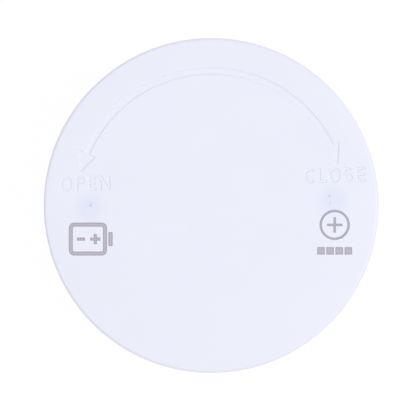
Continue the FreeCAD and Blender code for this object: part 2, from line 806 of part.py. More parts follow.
def crystal_lids():
    return Part.makeCompound([crystal_lid(radio_crystal_size, radio_crystal_at),
                              crystal_lid(clock_crystal_size, clock_crystal_at)])


def chip_body(size, end):
    """The plain middle of a chip part that lies at the origin along X."""
    return block((size[0] - 2 * end, size[1], size[2]), (0, 0), board_top)


def chip_ends(size, end):
    """Its two tinned ends, a little proud of the body."""
    cap = (end, size[1] + 2 * end_skin, size[2] + end_skin)
    return [block(cap, (side * (size[0] - end) / 2, 0), board_top) for side in (-1, 1)]


def placed(shape, place):
    x, y, degrees = place
    return by_chip(moved(turned(shape, degrees), FreeCAD.Vector(x, y, 0)))


def chip_bodies(places):
    body = chip_body(chip_part_size, chip_part_end)
    return Part.makeCompound([placed(body, place) for place in places])


def bypass_capacitors():
    return chip_bodies(capacitor_places)


def matching_inductors():
    return chip_bodies(inductor_places)


def chip_resistors():
    return chip_bodies(resistor_places)


def reservoir_capacitor():
    body = chip_body(reservoir_size, reservoir_end)
    return on_board(body, reservoir_inset, reservoir_angle)


def chip_end_caps():
    caps = []
    for end in chip_ends(chip_part_size, chip_part_end):
        for place in capacitor_places + inductor_places + resistor_places:
            caps.append(placed(end, place))
    for end in chip_ends(reservoir_size, reservoir_end):
        caps.append(on_board(end, reservoir_inset, reservoir_angle))
    return Part.makeCompound(caps)


def test_pads():
    pads = []
    for index in range(pad_count):
        y = (index - (pad_count - 1) / 2) * pad_pitch
        pads.append(block((pad_side, pad_side, film_t), (beside_holder, y), board_top))
    return Part.makeCompound(pads)


def antenna_trace():
    """One copper track: a grounded leg, the feed beside it, then folds up and down to the end."""
    step = trace_w + trace_gap
    top = antenna_y + antenna_h

    def upright(index, low, high):
        x = antenna_left + index * step
        return Part.makeBox(trace_w, high - low, film_t, FreeCAD.Vector(x, low, board_top))

    def bridge(first, last, y):
        x0 = antenna_left + first * step
        length = (last - first) * step + trace_w
        return Part.makeBox(length, trace_w, film_t, FreeCAD.Vector(x0, y, board_top))

    pieces = [upright(0, antenna_y, top), upright(feed_at, antenna_y, top),
              bridge(0, fold_first, top - trace_w)]
    low = antenna_y + fold_in
    for index in range(fold_first, fold_last + 1):
        pieces.append(upright(index, low, top))
        if index < fold_last:
            falling = (index - fold_first) % 2 == 0
            pieces.append(bridge(index, index + 1, low if falling else top - trace_w))
    return joined(pieces)


def led_base():
    length, width, height = led_size
    return block((length - 2 * led_end, width, height), (0, 0), board_z - height)


def led_ends():
    length, width, height = led_size
    return Part.makeCompound([block((led_end, width, height), (side * (length - led_end) / 2, 0),
                                    board_z - height) for side in (-1, 1)])


def led_lens():
    low = board_z - led_size[2]
    return revolved(profile((0, low), (lens_r, low), (lens_r * 0.8, low - lens_h),
                            (0, low - lens_h)))


parts = {
    "front_shell": front_shell,
    "back_cover": back_cover,
    "seal_ring": seal_ring,
    "circuit_board": circuit_board,
    "board_screws": board_screws,
    "battery_holder": battery_holder,
    "negative_contact": negative_contact,
    "positive_contact": positive_contact,
    "solder_joints": solder_joints,
    "cell_can": cell_can,
    "cell_cap": cell_cap,
    "cell_gasket": cell_gasket,
    "cell_anode": cell_anode,
    "cell_separator": cell_separator,
    "cell_cathode": cell_cathode,
    "switch_base": switch_base,
    "switch_dome": switch_dome,
    "switch_plunger": switch_plunger,
    "switch_frame": switch_frame,
    "switch_terminals": switch_terminals,
    "radio_chip": radio_chip,
    "radio_chip_joints": radio_chip_joints,
    "radio_crystal": radio_crystal,
    "clock_crystal": clock_crystal,
    "crystal_lids": crystal_lids,
    "bypass_capacitors": bypass_capacitors,
    "matching_inductors": matching_inductors,
    "chip_resistors": chip_resistors,
    "reservoir_capacitor": reservoir_capacitor,
    "chip_end_caps": chip_end_caps,
    "test_pads": test_pads,
    "antenna_trace": antenna_trace,
    "led_base": led_base,
    "led_ends": led_ends,
    "led_lens": led_lens,
}

os.makedirs("parts", exist_ok=True)
for name, make in parts.items():
    shape = make()
    shape.exportStep(os.path.join("parts", name + ".step"))
    print(name, len(shape.Solids), "solids", round(shape.Volume, 3), "mm3",
          "valid" if shape.isValid() else "NOT VALID")
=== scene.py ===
import bmesh
import bpy
import numpy as np
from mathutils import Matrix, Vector
from mathutils.geometry import delaunay_2d_cdt


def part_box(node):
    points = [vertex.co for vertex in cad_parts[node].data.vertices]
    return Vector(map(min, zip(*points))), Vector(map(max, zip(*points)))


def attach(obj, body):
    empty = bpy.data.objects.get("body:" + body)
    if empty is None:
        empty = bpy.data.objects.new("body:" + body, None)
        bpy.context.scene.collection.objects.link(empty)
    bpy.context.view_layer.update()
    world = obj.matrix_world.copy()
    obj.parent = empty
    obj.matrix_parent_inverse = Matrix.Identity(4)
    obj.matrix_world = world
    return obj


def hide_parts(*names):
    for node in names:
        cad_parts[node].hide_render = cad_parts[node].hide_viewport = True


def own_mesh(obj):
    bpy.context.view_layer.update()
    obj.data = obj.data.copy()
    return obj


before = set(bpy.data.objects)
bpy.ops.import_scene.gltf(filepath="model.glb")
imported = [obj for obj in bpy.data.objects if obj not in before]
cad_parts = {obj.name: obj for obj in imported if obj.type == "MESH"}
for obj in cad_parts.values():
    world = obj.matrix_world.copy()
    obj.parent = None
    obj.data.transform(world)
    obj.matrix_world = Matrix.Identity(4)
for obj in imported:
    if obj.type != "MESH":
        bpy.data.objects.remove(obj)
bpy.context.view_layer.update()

# Front shell: one moulding in white ABS with a spark-eroded outside. The beacon stands on the flat of
# its shallow crown. Inside it carries the board on two screw bosses and four ribs, a tube around the
# status light, and the two catch tabs of the lock, each ended by the wall that stops the hook.
mm = 0.001
body_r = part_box("front_shell")[1].x
rim_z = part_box("front_shell")[1].z
board_low, board_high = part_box("circuit_board")
board_r = board_high.y
side_wall = 1.6 * mm
front_wall = 1.8 * mm
front_flat_r = 12 * mm
crown_r = 50 * mm
edge_round = 6 * mm
rim_chamfer = 0.25 * mm
rim_round = 0.35 * mm
inner_r = body_r - side_wall
inner_round = edge_round - side_wall
light_window_r = 2.2 * mm
light_window_skin = 0.7 * mm
light_tube_wall = 0.8 * mm
light_tube_gap = 0.3 * mm
small_edge = 0.12 * mm
screw_at_r = board_r - 3.9 * mm
screw_angles = (22, 202)
boss_r = 2.3 * mm
board_rib_angles = (62, 118, 242, 298)
board_rib_width = 1.2 * mm
board_rib_reach = 1.8 * mm
tab_low = 11.3 * mm
tab_high = 12.6 * mm
tab_in_r = 19.0 * mm
tab_from = -9.3
tab_to = -39.1
stop_from = -36.05
stop_proud = 0.02 * mm
lead_in_turn = 4.5
lead_in_height = 0.5 * mm
shell_columns = 256
sweep_step = 1.5
corner_steps = 3
noise_low, noise_high = 0.3, 0.7


def added(made, kind, sockets, **settings):
    """Adds a node to a finish, with its settings and its sockets. A socket that is given another
    node's output is linked to it, and any other value is set."""
    node = made.node_tree.nodes.new("ShaderNode" + kind)
    for name, value in settings.items():
        setattr(node, name, value)
    for socket, value in sockets.items():
        if isinstance(value, bpy.types.NodeSocket):
            made.node_tree.links.new(value, node.inputs[socket])
        else:
            node.inputs[socket].default_value = value
    return node


def mixed(made, share, first, second, **settings):
    """Blends two colours, from the first at a share of 0 to the second at a share of 1."""
    sockets = {0: share, 6: first, 7: second}
    return added(made, "Mix", sockets, data_type="RGBA", **settings).outputs[2]


def ranged(made, value, start, end, low=0.0, high=1.0, **settings):
    """Carries a value evenly from the range start to end over to the range low to high."""
    sockets = {"Value": value, "From Min": start, "From Max": end, "To Min": low, "To Max": high}
    return added(made, "MapRange", sockets, **settings).outputs["Result"]


def shaded(made, socket, output):
    """Leads a node's output into a socket of the shader."""
    made.node_tree.links.new(output, made.node_tree.nodes["Principled BSDF"].inputs[socket])


def surface(name, colour, other, patch, rough, rough_drift, grain, depth, metal=0.0, coat=0.0,
            stretch=(1, 1, 1)):
    """A finish. Its colour and its roughness drift between two values in soft patches of one size,
    and a fine grain of its own size stands in its bump. Sizes and the bump's depth are in mm. With
    stretch the grain is drawn out into the lines of rolled or brushed metal."""
    made = bpy.data.materials.new(name)
    made.use_nodes = True
    shader = made.node_tree.nodes["Principled BSDF"]
    shader.inputs["Metallic"].default_value = metal
    shader.inputs["Coat Weight"].default_value = coat
    place = added(made, "TexCoord", {}).outputs["Object"]
    clouds = added(made, "TexNoise", {"Vector": place, "Scale": 1 / (patch * mm), "Detail": 3.0})
    clouds = clouds.outputs["Fac"]
    shaded(made, "Base Color", mixed(made, clouds, (*colour, 1), (*other, 1), name="tint"))
    shaded(made, "Roughness", ranged(made, clouds, noise_low, noise_high, rough - rough_drift,
                                     rough + rough_drift))
    drawn_out = added(made, "Mapping", {"Vector": place, "Scale": stretch}).outputs["Vector"]
    grains = added(made, "TexNoise", {"Vector": drawn_out, "Scale": 1 / (grain * mm), "Detail": 4.0})
    bump = added(made, "Bump", {"Height": grains.outputs["Fac"], "Distance": depth * mm}, name="bump")
    shaded(made, "Normal", bump.outputs["Normal"])
    return made


def arc(centre, radius, start, end, steps):
    """The points centre + radius (cos t, sin t), for t in degrees from start to end."""
    t = np.radians(np.linspace(start, end, steps + 1))
    return np.stack([centre[0] + radius * np.cos(t), centre[1] + radius * np.sin(t)], 1)


def circle(centre, radius, steps):
    """The points of a full turn, each of them once."""
    return arc(centre, radius, 0, 360, steps)[:-1]


def unit(steps):
    """The same directions, each of length 1."""
    return steps / np.linalg.norm(steps, axis=1, keepdims=True)


def softened(corners, radius):
    """Rounds the corners of a closed outline. The centre of each arc lies on the corner's bisector at
    r / sin(half angle), and the arc turns from one tangent point to the other."""
    p = np.array(corners, float)
    r = np.broadcast_to(np.array(radius, float), len(p))[:, None]
    back = unit(np.roll(p, 1, 0) - p)
    ahead = unit(np.roll(p, -1, 0) - p)
    half = np.arccos(np.clip((back * ahead).sum(1, keepdims=True), -1, 1)) / 2
    centre = p + unit(back + ahead) * r / np.sin(half)
    first = p + back * r / np.tan(half) - centre
    last = p + ahead * r / np.tan(half) - centre
    turn = (np.pi - 2 * half)[:, None]
    t = np.linspace(0, 1, corner_steps + 1)[None, :, None]
    points = (centre[:, None] + first[:, None] * np.sin((1 - t) * turn) / np.sin(turn)
              + last[:, None] * np.sin(t * turn) / np.sin(turn)).reshape(-1, 2)
    return points[np.linalg.norm(points - np.roll(points, 1, 0), axis=1) > 1e-8]


def loft(rows, loop=False):
    """Joins rows of points, each a closed ring, into a skin of quads. The first and the last row get
    a flat end, or with loop they join each other."""
    count, columns = rows.shape[:2]
    i = np.arange(count if loop else count - 1)[:, None]
    j = np.arange(columns)[None, :]
    right = (j + 1) % columns
    above = (i + 1) % count
    quads = np.stack([i * columns + j, i * columns + right, above * columns + right,
                      above * columns + j], -1).reshape(-1, 4).tolist()
    if not loop:
        quads.append(np.arange(columns)[::-1].tolist())
        quads.append((np.arange(columns) + (count - 1) * columns).tolist())
    return rows.reshape(-1, 3), quads


def turned(profile, columns):
    """The rows of a (radius, height) profile about Z: p(s, t) = (r(s) cos t, r(s) sin t, z(s))."""
    t = 2 * np.pi * np.arange(columns) / columns
    r, z = np.array(profile, float).T[..., None]
    return np.stack([r * np.cos(t), r * np.sin(t), z + 0 * t], -1)


def spun(profile, columns=shell_columns):
    """A closed solid: the profile carried once round Z."""
    return loft(turned(profile, columns), loop=True)


def swept(profiles, angles):
    """Carries closed (radius, height) profiles round Z, one for each of the angles in degrees."""
    t = np.radians(angles)[:, None]
    r, z = np.moveaxis(np.array(profiles, float), -1, 0)
    return loft(np.stack([r * np.cos(t), r * np.sin(t), z + 0 * t], -1))


def swept_evenly(profile, start, end):
    """Carries one profile from the start to the end angle."""
    angles = np.linspace(start, end, max(3, int(abs(end - start) / sweep_step)))
    return swept([profile] * len(angles), angles)


def left_of(steps):
    """For each step of a path, the direction to its left, of length 1."""
    return unit(np.stack([-steps[:, 1], steps[:, 0]], 1))


def inset(outline, distance):
    """Moves each corner of a counterclockwise outline in along its bisector, so that each side
    shifts by that distance: d / sin(half angle)."""
    left = left_of(np.roll(outline, -1, 0) - outline)
    both = left + np.roll(left, 1, 0)
    return outline + both * distance * 2 / (both ** 2).sum(1, keepdims=True)


def at_height(ring, z):
    """A ring of (x, y) points, all at that height."""
    return np.column_stack([ring, np.full(len(ring), z)])


def cut_back(outline, low, high, edge):
    """The rows of a flat piece: straight sides, and edges cut back by the width of edge."""
    rows = [(inset(outline, edge), low), (outline, low + edge), (outline, high - edge),
            (inset(outline, edge), high)]
    return np.array([at_height(ring, z) for ring, z in rows])


def turning(degrees):
    """Where a turn by that angle carries the directions of X and of Y."""
    a = np.radians(degrees)
    return np.array([[np.cos(a), np.sin(a)], [-np.sin(a), np.cos(a)]])


def shifted(lump, by, degrees=0.0):
    """A lump turned about Z by an angle and then moved, by (x, y) or by (x, y, z)."""
    points, faces = lump
    turned_points = np.column_stack([points[:, :2] @ turning(degrees), points[:, 2]])
    return turned_points + np.array([*by, 0][:3]), faces


def in_scene(name, data):
    """Puts an object with that data in the scene."""
    made = bpy.data.objects.new(name, data)
    bpy.context.scene.collection.objects.link(made)
    return made


def piece(mesh, material, body, nodes, sharp):
    """Makes a piece of a mesh and ties it to its body, to the nodes that it stands for and to its
    finish. It is smooth, but edges bent more than sharp degrees stay sharp."""
    mesh.shade_smooth()
    mesh.set_sharp_from_angle(angle=np.radians(sharp))
    mesh.materials.append(material)
    made = in_scene(mesh.name, mesh)
    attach(made, body)
    if nodes:
        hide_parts(*nodes)
    return made


def assembled(name, lumps, material, body, nodes=(), sharp=32):
    """Makes one piece of closed lumps, with its place in its mesh."""
    points, faces, first = [], [], 0
    for lump_points, lump_faces in lumps:
        points.append(lump_points)
        faces += [[first + index for index in face] for face in lump_faces]
        first += len(lump_points)
    mesh = bpy.data.meshes.new(name)
    mesh.from_pydata(np.concatenate(points).tolist(), [], faces)
    work = bmesh.new()
    work.from_mesh(mesh)
    bmesh.ops.remove_doubles(work, verts=work.verts, dist=2e-7)
    bmesh.ops.delete(work, geom=[e for e in work.edges if not e.link_faces], context="EDGES")
    bmesh.ops.recalc_face_normals(work, faces=work.faces)
    work.to_mesh(mesh)
    work.free()
    return piece(mesh, material, body, nodes, sharp)


def polar(radius, degrees):
    """The point (r cos t, r sin t), for t in degrees."""
    return radius * np.cos(np.radians(degrees)), radius * np.sin(np.radians(degrees))


def in_wall(from_r, to_z):
    """A (radius, height) arc inside the rounded corner of the wall, from a radius up to a height."""
    middle = (inner_r - inner_round, front_wall + inner_round)
    radius = inner_round + side_wall / 2
    low = -np.degrees(np.arccos((from_r - middle[0]) / radius))
    high = np.degrees(np.arcsin(np.clip((to_z - middle[1]) / radius, -1, 0)))
    return arc(middle, radius, low, high, 8)


def catch(base):
    """A tab that slopes up at its start, so that the hook slides in under it, and its stop wall."""
    outer = body_r - side_wall / 2
    corners = [(tab_in_r, tab_low), (outer, tab_low), (outer, tab_high), (tab_in_r, tab_high)]
    flat = softened(corners, small_edge)
    lifted = flat.copy()
    lifted[:, 1] = np.maximum(lifted[:, 1], tab_low + lead_in_height)
    along = np.linspace(tab_from - lead_in_turn, (stop_from + tab_to) / 2, 17)
    inner, top = tab_in_r - stop_proud, tab_high + stop_proud
    low = np.concatenate([in_wall(inner, top), [(outer, top)],
                          arc((inner + small_edge, top - small_edge), small_edge, 90, 180, 3)])
    return [swept([lifted] + [flat] * len(along), base + np.append(tab_from, along)),
            swept_evenly(low, base + stop_from, base + tab_to)]


white_abs = surface(
    "white_abs", (0.819, 0.832, 0.93), (0.836, 0.847, 0.946), 6, 0.46, 0.05, 0.07, 0.006)
edge_at = body_r - edge_round
edge_z = crown_r - np.sqrt((crown_r - edge_round) ** 2 - (edge_at - front_flat_r) ** 2)
crown_end = np.degrees(np.arctan2(edge_z - crown_r, edge_at - front_flat_r))
tube_r = light_window_r + light_tube_wall
tube_top = board_low.z - light_tube_gap
shell_profile = np.concatenate([
    [(0, 0)],
    arc((front_flat_r, crown_r), crown_r, -90, crown_end, 8),
    arc((edge_at, edge_z), edge_round, crown_end, 0, 24)[1:],
    arc((body_r - rim_round, rim_z - rim_round), rim_round, 0, 90, 5),
    arc((inner_r + small_edge, rim_z - small_edge), small_edge, 90, 180, 3),
    arc((inner_r - inner_round, front_wall + inner_round), inner_round, 0, -90, 14),
    [(tube_r, front_wall), (tube_r, tube_top), (light_window_r, tube_top),
     (light_window_r, light_window_skin), (0, light_window_skin)]])
shell_lumps = [spun(shell_profile)]
for degrees in screw_angles:
    boss = cut_back(circle((0, 0), boss_r, 40), front_wall / 2, board_low.z, small_edge)
    shell_lumps.append(shifted(loft(boss), polar(screw_at_r, degrees)))
rib_in_r = board_r - board_rib_reach
across = np.degrees(board_rib_width / 2 / board_r)
section = np.concatenate([in_wall(rib_in_r, board_low.z), [(rib_in_r, board_low.z)]])
for degrees in board_rib_angles:
    shell_lumps.append(swept_evenly(section, degrees - across, degrees + across))
for base in (0, 180):
    shell_lumps += catch(base)
assembled("front_shell_moulding", shell_lumps, white_abs, "housing", ["front_shell"])

# Circuit board: a glass-fibre sheet under green solder mask, its tan core bare on the edge. Tracks
# stand a little proud under the mask, gold rings lie around the vias, and the print is white.
mask_t = 0.03 * mm
track_t = 0.03 * mm
print_t = 0.02 * mm
print_line = 0.16 * mm
notch_in_r = tab_in_r - 0.4 * mm
notch_from = -34.84
notch_to = -40.31
screw_hole_r = 1.1 * mm
peg_hole_r = 0.75 * mm
pin_hole_r = 0.65 * mm
cell_y = -4.5 * mm
peg_x = 10.2 * mm
leaf_pin_x = 8.4 * mm
clip_pin = (2.0 * mm, -20.2 * mm)
chip_angle = 50
chip_at_r = board_r - 4.6 * mm
keep_out_y = 16.9 * mm
weave = 0.45 * mm
via_r = 0.24 * mm
via_hole_r = 0.11 * mm
via_ring_r = 21.75 * mm


def triangulated(rings):
    """One plan of triangles through all the rings: points, triangles and where each point is from."""
    flat, edges = [], []
    for ring in rings:
        first, count = len(flat), len(ring)
        flat += [Vector(point) for point in (ring / mm).tolist()]
        edges += [(first + k, first + (k + 1) % count) for k in range(count)]
    points, _, faces, origins, _, _ = delaunay_2d_cdt(flat, edges, [], 0, 1e-6)
    return np.array([tuple(point) for point in points]) * mm, np.array(faces), origins


def pierced(rings, low, high):
    """A flat piece between two heights, with that outline and those holes. A triangle of the plan is
    kept where a ray from its middle crosses the rings an odd number of times."""
    points, faces, _ = triangulated(rings)
    start = np.concatenate(rings)
    end = np.concatenate([np.roll(ring, -1, 0) for ring in rings])
    x, y = points[faces].mean(1).T[..., None]
    rise = end[:, 1] - start[:, 1]
    meets = (start[:, 1] > y) != (end[:, 1] > y)
    at = start[:, 0] + (y - start[:, 1]) * (end[:, 0] - start[:, 0]) / np.where(rise == 0, 1, rise)
    top = faces[(meets & (at > x)).sum(1) % 2 == 1]
    sides = np.concatenate([top[:, [0, 1]], top[:, [1, 2]], top[:, [2, 0]]]).tolist()
    shared = {(b, a) for a, b in sides}
    rim = np.array([side for side in sides if tuple(side) not in shared])
    count = len(points)
    walls = np.column_stack([rim[:, ::-1], rim + count])
    placed = np.concatenate([at_height(points, z) for z in (high, low)])
    return placed, top.tolist() + (top[:, ::-1] + count).tolist() + walls.tolist()


def band(path, width):
    """The outline of a stroke: the path shifted to both sides by half the width, mitred at its
    corners, where the shift is d / cos(half of the turn)."""
    path = np.array(path, float)
    left = left_of(np.diff(path, axis=0))
    both = np.concatenate([2 * left[:1], left[1:] + left[:-1], 2 * left[-1:]])
    shift = both * width / (both ** 2).sum(1, keepdims=True)
    return np.concatenate([path - shift, (path + shift)[::-1]])


def rectangle(width, height, corner=0.0):
    """A rectangle about the origin, counterclockwise, with rounded corners."""
    x, y = width / 2, height / 2
    corners = [(-x, -y), (x, -y), (x, y), (-x, y)]
    return softened(corners, corner) if corner else np.array(corners)


def plus(span, width):
    """The outline of a plus sign about the origin, from three corners and their quarter turns."""
    arm = np.array([(span / 2, -width / 2), (span / 2, width / 2), (width / 2, width / 2)])
    return np.concatenate([arm @ turning(quarter) for quarter in (0, 90, 180, 270)])


def by_chip(points):
    """From the chip's own plan in mm, X along the board's edge and Y outwards, to the board."""
    return np.array(points, float) * mm @ turning(chip_angle - 90) + polar(chip_at_r, chip_angle)


def edged(outline):
    """A printed line along a closed outline, as the rings of its outer and its inner side."""
    return [inset(outline, -print_line / 2), inset(outline, print_line / 2)]


def on_mask(rings, rise):
    """A flat piece that starts inside the mask and stands proud of it by that rise."""
    return pierced(rings, board_high.z - mask_t, board_high.z + rise)


def figured(made, operation, first, second=0.0):
    """Works out one step of arithmetic, or one comparison, which gives 1 or 0."""
    return added(made, "Math", {0: first, 1: second}, operation=operation).outputs["Value"]


def second_bump(made, height, depth):
    """Lays another relief over the grain of a finish, with its depth in mm."""
    under = made.node_tree.nodes["bump"].outputs["Normal"]
    bump = added(made, "Bump", {"Height": height, "Distance": depth * mm, "Normal": under})
    shaded(made, "Normal", bump.outputs["Normal"])


def seen_mask():
    """Green mask over the weave of the glass: two crossing waves in its tint and its bump. A wave
    follows sin(20 s x), so its scale s is pi / 10 / period. Past the edge of the copper plane the
    mask is darker, and between the two masks the tan core shows."""
    made = surface(
        "board_mask", (0.016, 0.145, 0.062), (0.022, 0.185, 0.085), 7, 0.24, 0.05, 0.25, 0.002,
        coat=0.5)
    place = added(made, "TexCoord", {}).outputs["Object"]
    parts = added(made, "SeparateXYZ", {0: place}).outputs
    threads = {"Vector": place, "Scale": np.pi / 10 / weave, "Distortion": 0.6}
    warp, weft = (added(made, "TexWave", threads, bands_direction=direction).outputs["Fac"]
                  for direction in "XY")
    crossed = figured(made, "MULTIPLY", warp, weft)
    woven = mixed(made, crossed, made.node_tree.nodes["tint"].outputs[2], (0.82, 0.88, 0.82, 1),
                  blend_type="MULTIPLY")
    bare = ranged(made, parts["Y"], keep_out_y, keep_out_y + 0.05 * mm, 0.0, 0.6)
    plane = mixed(made, bare, woven, (0.55, 0.50, 0.42, 1), blend_type="MULTIPLY")
    above = figured(made, "GREATER_THAN", parts["Z"], board_low.z + mask_t)
    masked = figured(made, "GREATER_THAN", parts["Z"], board_high.z - mask_t)
    core = figured(made, "SUBTRACT", above, masked)
    shaded(made, "Base Color", mixed(made, core, plane, (0.42, 0.34, 0.16, 1)))
    second_bump(made, crossed, 0.003)
    return made


board_outline = np.concatenate([part for half in (0, 180) for part in (
    arc((0, 0), board_r, half + notch_from, half + 180 + notch_to, 120),
    arc((0, 0), notch_in_r, half + 180 + notch_to, half + 180 + notch_from, 3))])
board_holes = [circle(polar(screw_at_r, degrees), screw_hole_r, 32) for degrees in screw_angles]
board_holes += [circle((x, cell_y), peg_hole_r, 24) for x in (-peg_x, peg_x)]
board_holes += [circle(at, pin_hole_r, 24) for at in (
    (-clip_pin[0], clip_pin[1]), clip_pin, (leaf_pin_x, cell_y))]
assembled("board_panel", [pierced([board_outline] + board_holes, board_low.z, board_high.z)],
          seen_mask(), "housing", ["circuit_board"])

signal_width = 0.20
pin_end = 2.75
chip_paths = [[(np.copysign(pin_end, x), y), (x, y)] for x, y in (
    (-3.4, 0.25), (-3.4, 0.75), (-3.6, -1.25), (3.6, 1.25), (3.45, -0.25), (3.45, 0.25))]
chip_paths += [[(x, pin_end), (x, 3.15)] for x in (-1.25, -0.25, 1.25)]
chip_paths += [[(side * pin_end, y), (side * bend, y), (side * (bend + 0.5), np.copysign(2.2, y))]
               for side, bend in ((-1, 3.15), (1, 3.1)) for y in (1.75, -1.75)]
tracks = [(signal_width, by_chip(path)) for path in chip_paths]
tracks += [
    (0.30, by_chip([(-1.95, 3.35), (-2.75, 3.35)])),
    (0.30, np.concatenate([
        by_chip([(-3.45, 3.35), (-3.9, 3.1), (-5.0, 3.1), (-6.3, 1.8), (-6.3, -0.5)]),
        np.array([(5.2, 16.3), (-3.35, 16.3), (-3.6, 16.55), (-3.6, 17.2)]) * mm])),
    (0.60, np.array([(-8.5, 14.75), (-7.3, 13.6), (5.3, 13.6), (6.5, 14.8)]) * mm),
    (0.25, np.array([(-16.5, 4.4), (-16.5, 6.3), (-10.6, 12.2), (7.85, 12.2), (8.2, 12.5)]) * mm),
    (0.45, np.concatenate([
        [(-2.6 * mm, -20.4 * mm)], arc((0, 0), 21.5 * mm, 255, 150, 60),
        arc((0, 0), 17.9 * mm, 150, 128, 12)]))]
pad_pitch = 2.2
pad_side_x = 17.5
upper_lane_y = 5.3
for k in range(5):
    pad_y = (k - 2) * pad_pitch
    pin = by_chip([(-1.25 + 0.5 * k, -pin_end), (-1.25 + 0.5 * k, -5.0 + 0.4 * k)]) / mm
    far = 12.9 + 0.45 * k
    beside = 14.0 + 0.4 * k
    fall = (far - pin[1][0]) * np.tan(np.radians(90 - chip_angle))
    tracks.append((signal_width, np.array([
        *pin, (far, pin[1][1] - fall), (far, upper_lane_y), (beside, upper_lane_y - (beside - far)),
        (beside, pad_y + 0.4), (beside + 0.4, pad_y), (pad_side_x, pad_y)]) * mm))
track_mask = surface(
    "track_mask", (0.022, 0.2, 0.088), (0.028, 0.235, 0.105), 5, 0.22, 0.05, 0.2, 0.002, coat=0.5)
assembled("board_tracks", [on_mask([band(path, width * mm)], track_t) for width, path in tracks],
          track_mask, "housing")

vias = [polar(via_ring_r, degrees) for degrees in (
    *range(222, 255, 6), *range(268, 311, 7), *range(332, 347, 7))]
vias += [(x * mm, y * mm) for x, y in (
    (-5.4, 15.4), (-2.6, 15.4), (0.2, 15.4), (3.0, 15.4), (-12.9, 7.2), (-10.2, 10.1), (12.2, 8.3),
    (-14.6, -8.6), (15.3, -9.4), (-5.2, 10.9), (-0.4, 10.9), (4.4, 10.9), (19.6, 8.9), (-17.9, 5.3))]
gold = surface(
    "pad_gold", (0.78, 0.56, 0.22), (0.86, 0.65, 0.29), 0.8, 0.27, 0.07, 0.05, 0.002, metal=1.0)
assembled("board_vias",
          [on_mask([circle(at, via_r, 14), circle(at, via_hole_r, 10)], track_t) for at in vias],
          gold, "housing")

chip_corners = [(-3.0, -3.0), (3.0, -3.0), (3.0, 3.0), (-3.0, 3.0)]
printed = [edged(ring) for ring in (
    by_chip(chip_corners), circle((0, cell_y), 14.05 * mm, 120),
    (rectangle(5.9, 5.9) + (-18.03, 0.8)) * mm, (rectangle(2.0, 11.0, 0.3) + (18.03, 0)) * mm)]
printed += [[ring] for ring in (
    circle(by_chip([(-3.2, -3.2)])[0], 0.2 * mm, 16),
    (plus(1.6, 0.3) + (-4.6, -19.6)) * mm, (rectangle(1.6, 0.3) + (15.5, -6.6)) * mm)]
white_ink = surface("white_print", (0.78, 0.79, 0.77), (0.86, 0.87, 0.84), 0.6, 0.5, 0.06, 0.04, 0.004)
assembled("board_print", [on_mask(rings, print_t) for rings in printed], white_ink, "housing")

# Parts on the board: the radio chip with its dot, two crystals under metal lids, the tan, grey and
# black chip parts with tinned ends, the gold pads, the antenna track and the light below. All of
# them are soldered to the board by machine.
chip_side = 5.0 * mm
chip_low = board_high.z + 0.05 * mm
chip_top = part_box("radio_chip")[1].z
chip_edge = 0.06 * mm
dot_at = (-1.7 * mm, -1.7 * mm)
dot_r = 0.32 * mm
dot_depth = 0.03 * mm
kept_sharp = 35


def sunk_face(rim, sunk, z):
    """A flat face inside a rim, with sunk shapes. Each shape has its outline in the face, and the
    outline of its floor at its depth. One triangulation through all the outlines joins them."""
    rings = [(rim, z)]
    for outline, floor, depth in sunk:
        rings += [(outline, z), (floor, z - depth)]
    points, faces, origins = triangulated([ring for ring, height in rings])
    heights = np.concatenate([np.full(len(ring), height) for ring, height in rings])
    return np.column_stack([points, heights[[found[0] for found in origins]]]), faces.tolist()


def capped(rows, face):
    """A lofted skin that is closed on top by a face of its own in place of the flat end."""
    points, faces = loft(rows)
    return (np.concatenate([points, face[0]]),
            faces[:-1] + [[k + len(points) for k in triangle] for triangle in face[1]])


def dressed(node, material, edge):
    """A merged copy of a CAD node of the housing, with its flats made whole, its curves smooth and
    its sharp edges rounded to that radius in mm."""
    work = bmesh.new()
    work.from_mesh(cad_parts[node].data)
    bmesh.ops.remove_doubles(work, verts=work.verts, dist=1e-6)
    bmesh.ops.dissolve_limit(work, angle_limit=np.radians(1), verts=work.verts, edges=work.edges)
    mesh = bpy.data.meshes.new(node + "_dressed")
    work.to_mesh(mesh)
    work.free()
    made = piece(mesh, material, "housing", [node], kept_sharp)
    rounded = made.modifiers.new("edges", "BEVEL")
    rounded.width = edge * mm
    rounded.segments = 2
    rounded.limit_method = "ANGLE"
    rounded.angle_limit = np.radians(kept_sharp)


def finished(material, *nodes):
    """Gives CAD nodes that keep their own shape their finish."""
    for node in nodes:
        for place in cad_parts[node].material_slots:
            place.material = material


chip_plan = rectangle(chip_side, chip_side)
dot = circle(dot_at, dot_r, 24)
chip_face = sunk_face(inset(chip_plan, chip_edge), [(dot, inset(dot, dot_depth), dot_depth)], chip_top)
chip_body = capped(cut_back(chip_plan, chip_low, chip_top, chip_edge), chip_face)
chip_black = surface(
    "chip_black", (0.017, 0.017, 0.019), (0.026, 0.026, 0.028), 1.2, 0.52, 0.06, 0.04, 0.006)
assembled("radio_chip_moulding",
          [shifted(chip_body, polar(chip_at_r, chip_angle), chip_angle - 90)],
          chip_black, "housing", ["radio_chip"])
tin = surface(
    "bright_tin", (0.58, 0.58, 0.59), (0.68, 0.68, 0.69), 0.5, 0.3, 0.08, 0.08, 0.006, metal=1.0)
crystal_tray = surface(
    "crystal_tray", (0.13, 0.11, 0.09), (0.19, 0.17, 0.15), 0.5, 0.48, 0.05, 0.04, 0.004)
plated_lid = surface(
    "plated_lid", (0.64, 0.62, 0.56), (0.72, 0.7, 0.64), 0.7, 0.26, 0.06, 0.05, 0.002, metal=1.0,
    stretch=(1, 12, 1))
tan_ceramic = surface(
    "tan_ceramic", (0.33, 0.21, 0.12), (0.47, 0.33, 0.2), 0.35, 0.42, 0.08, 0.03, 0.005)
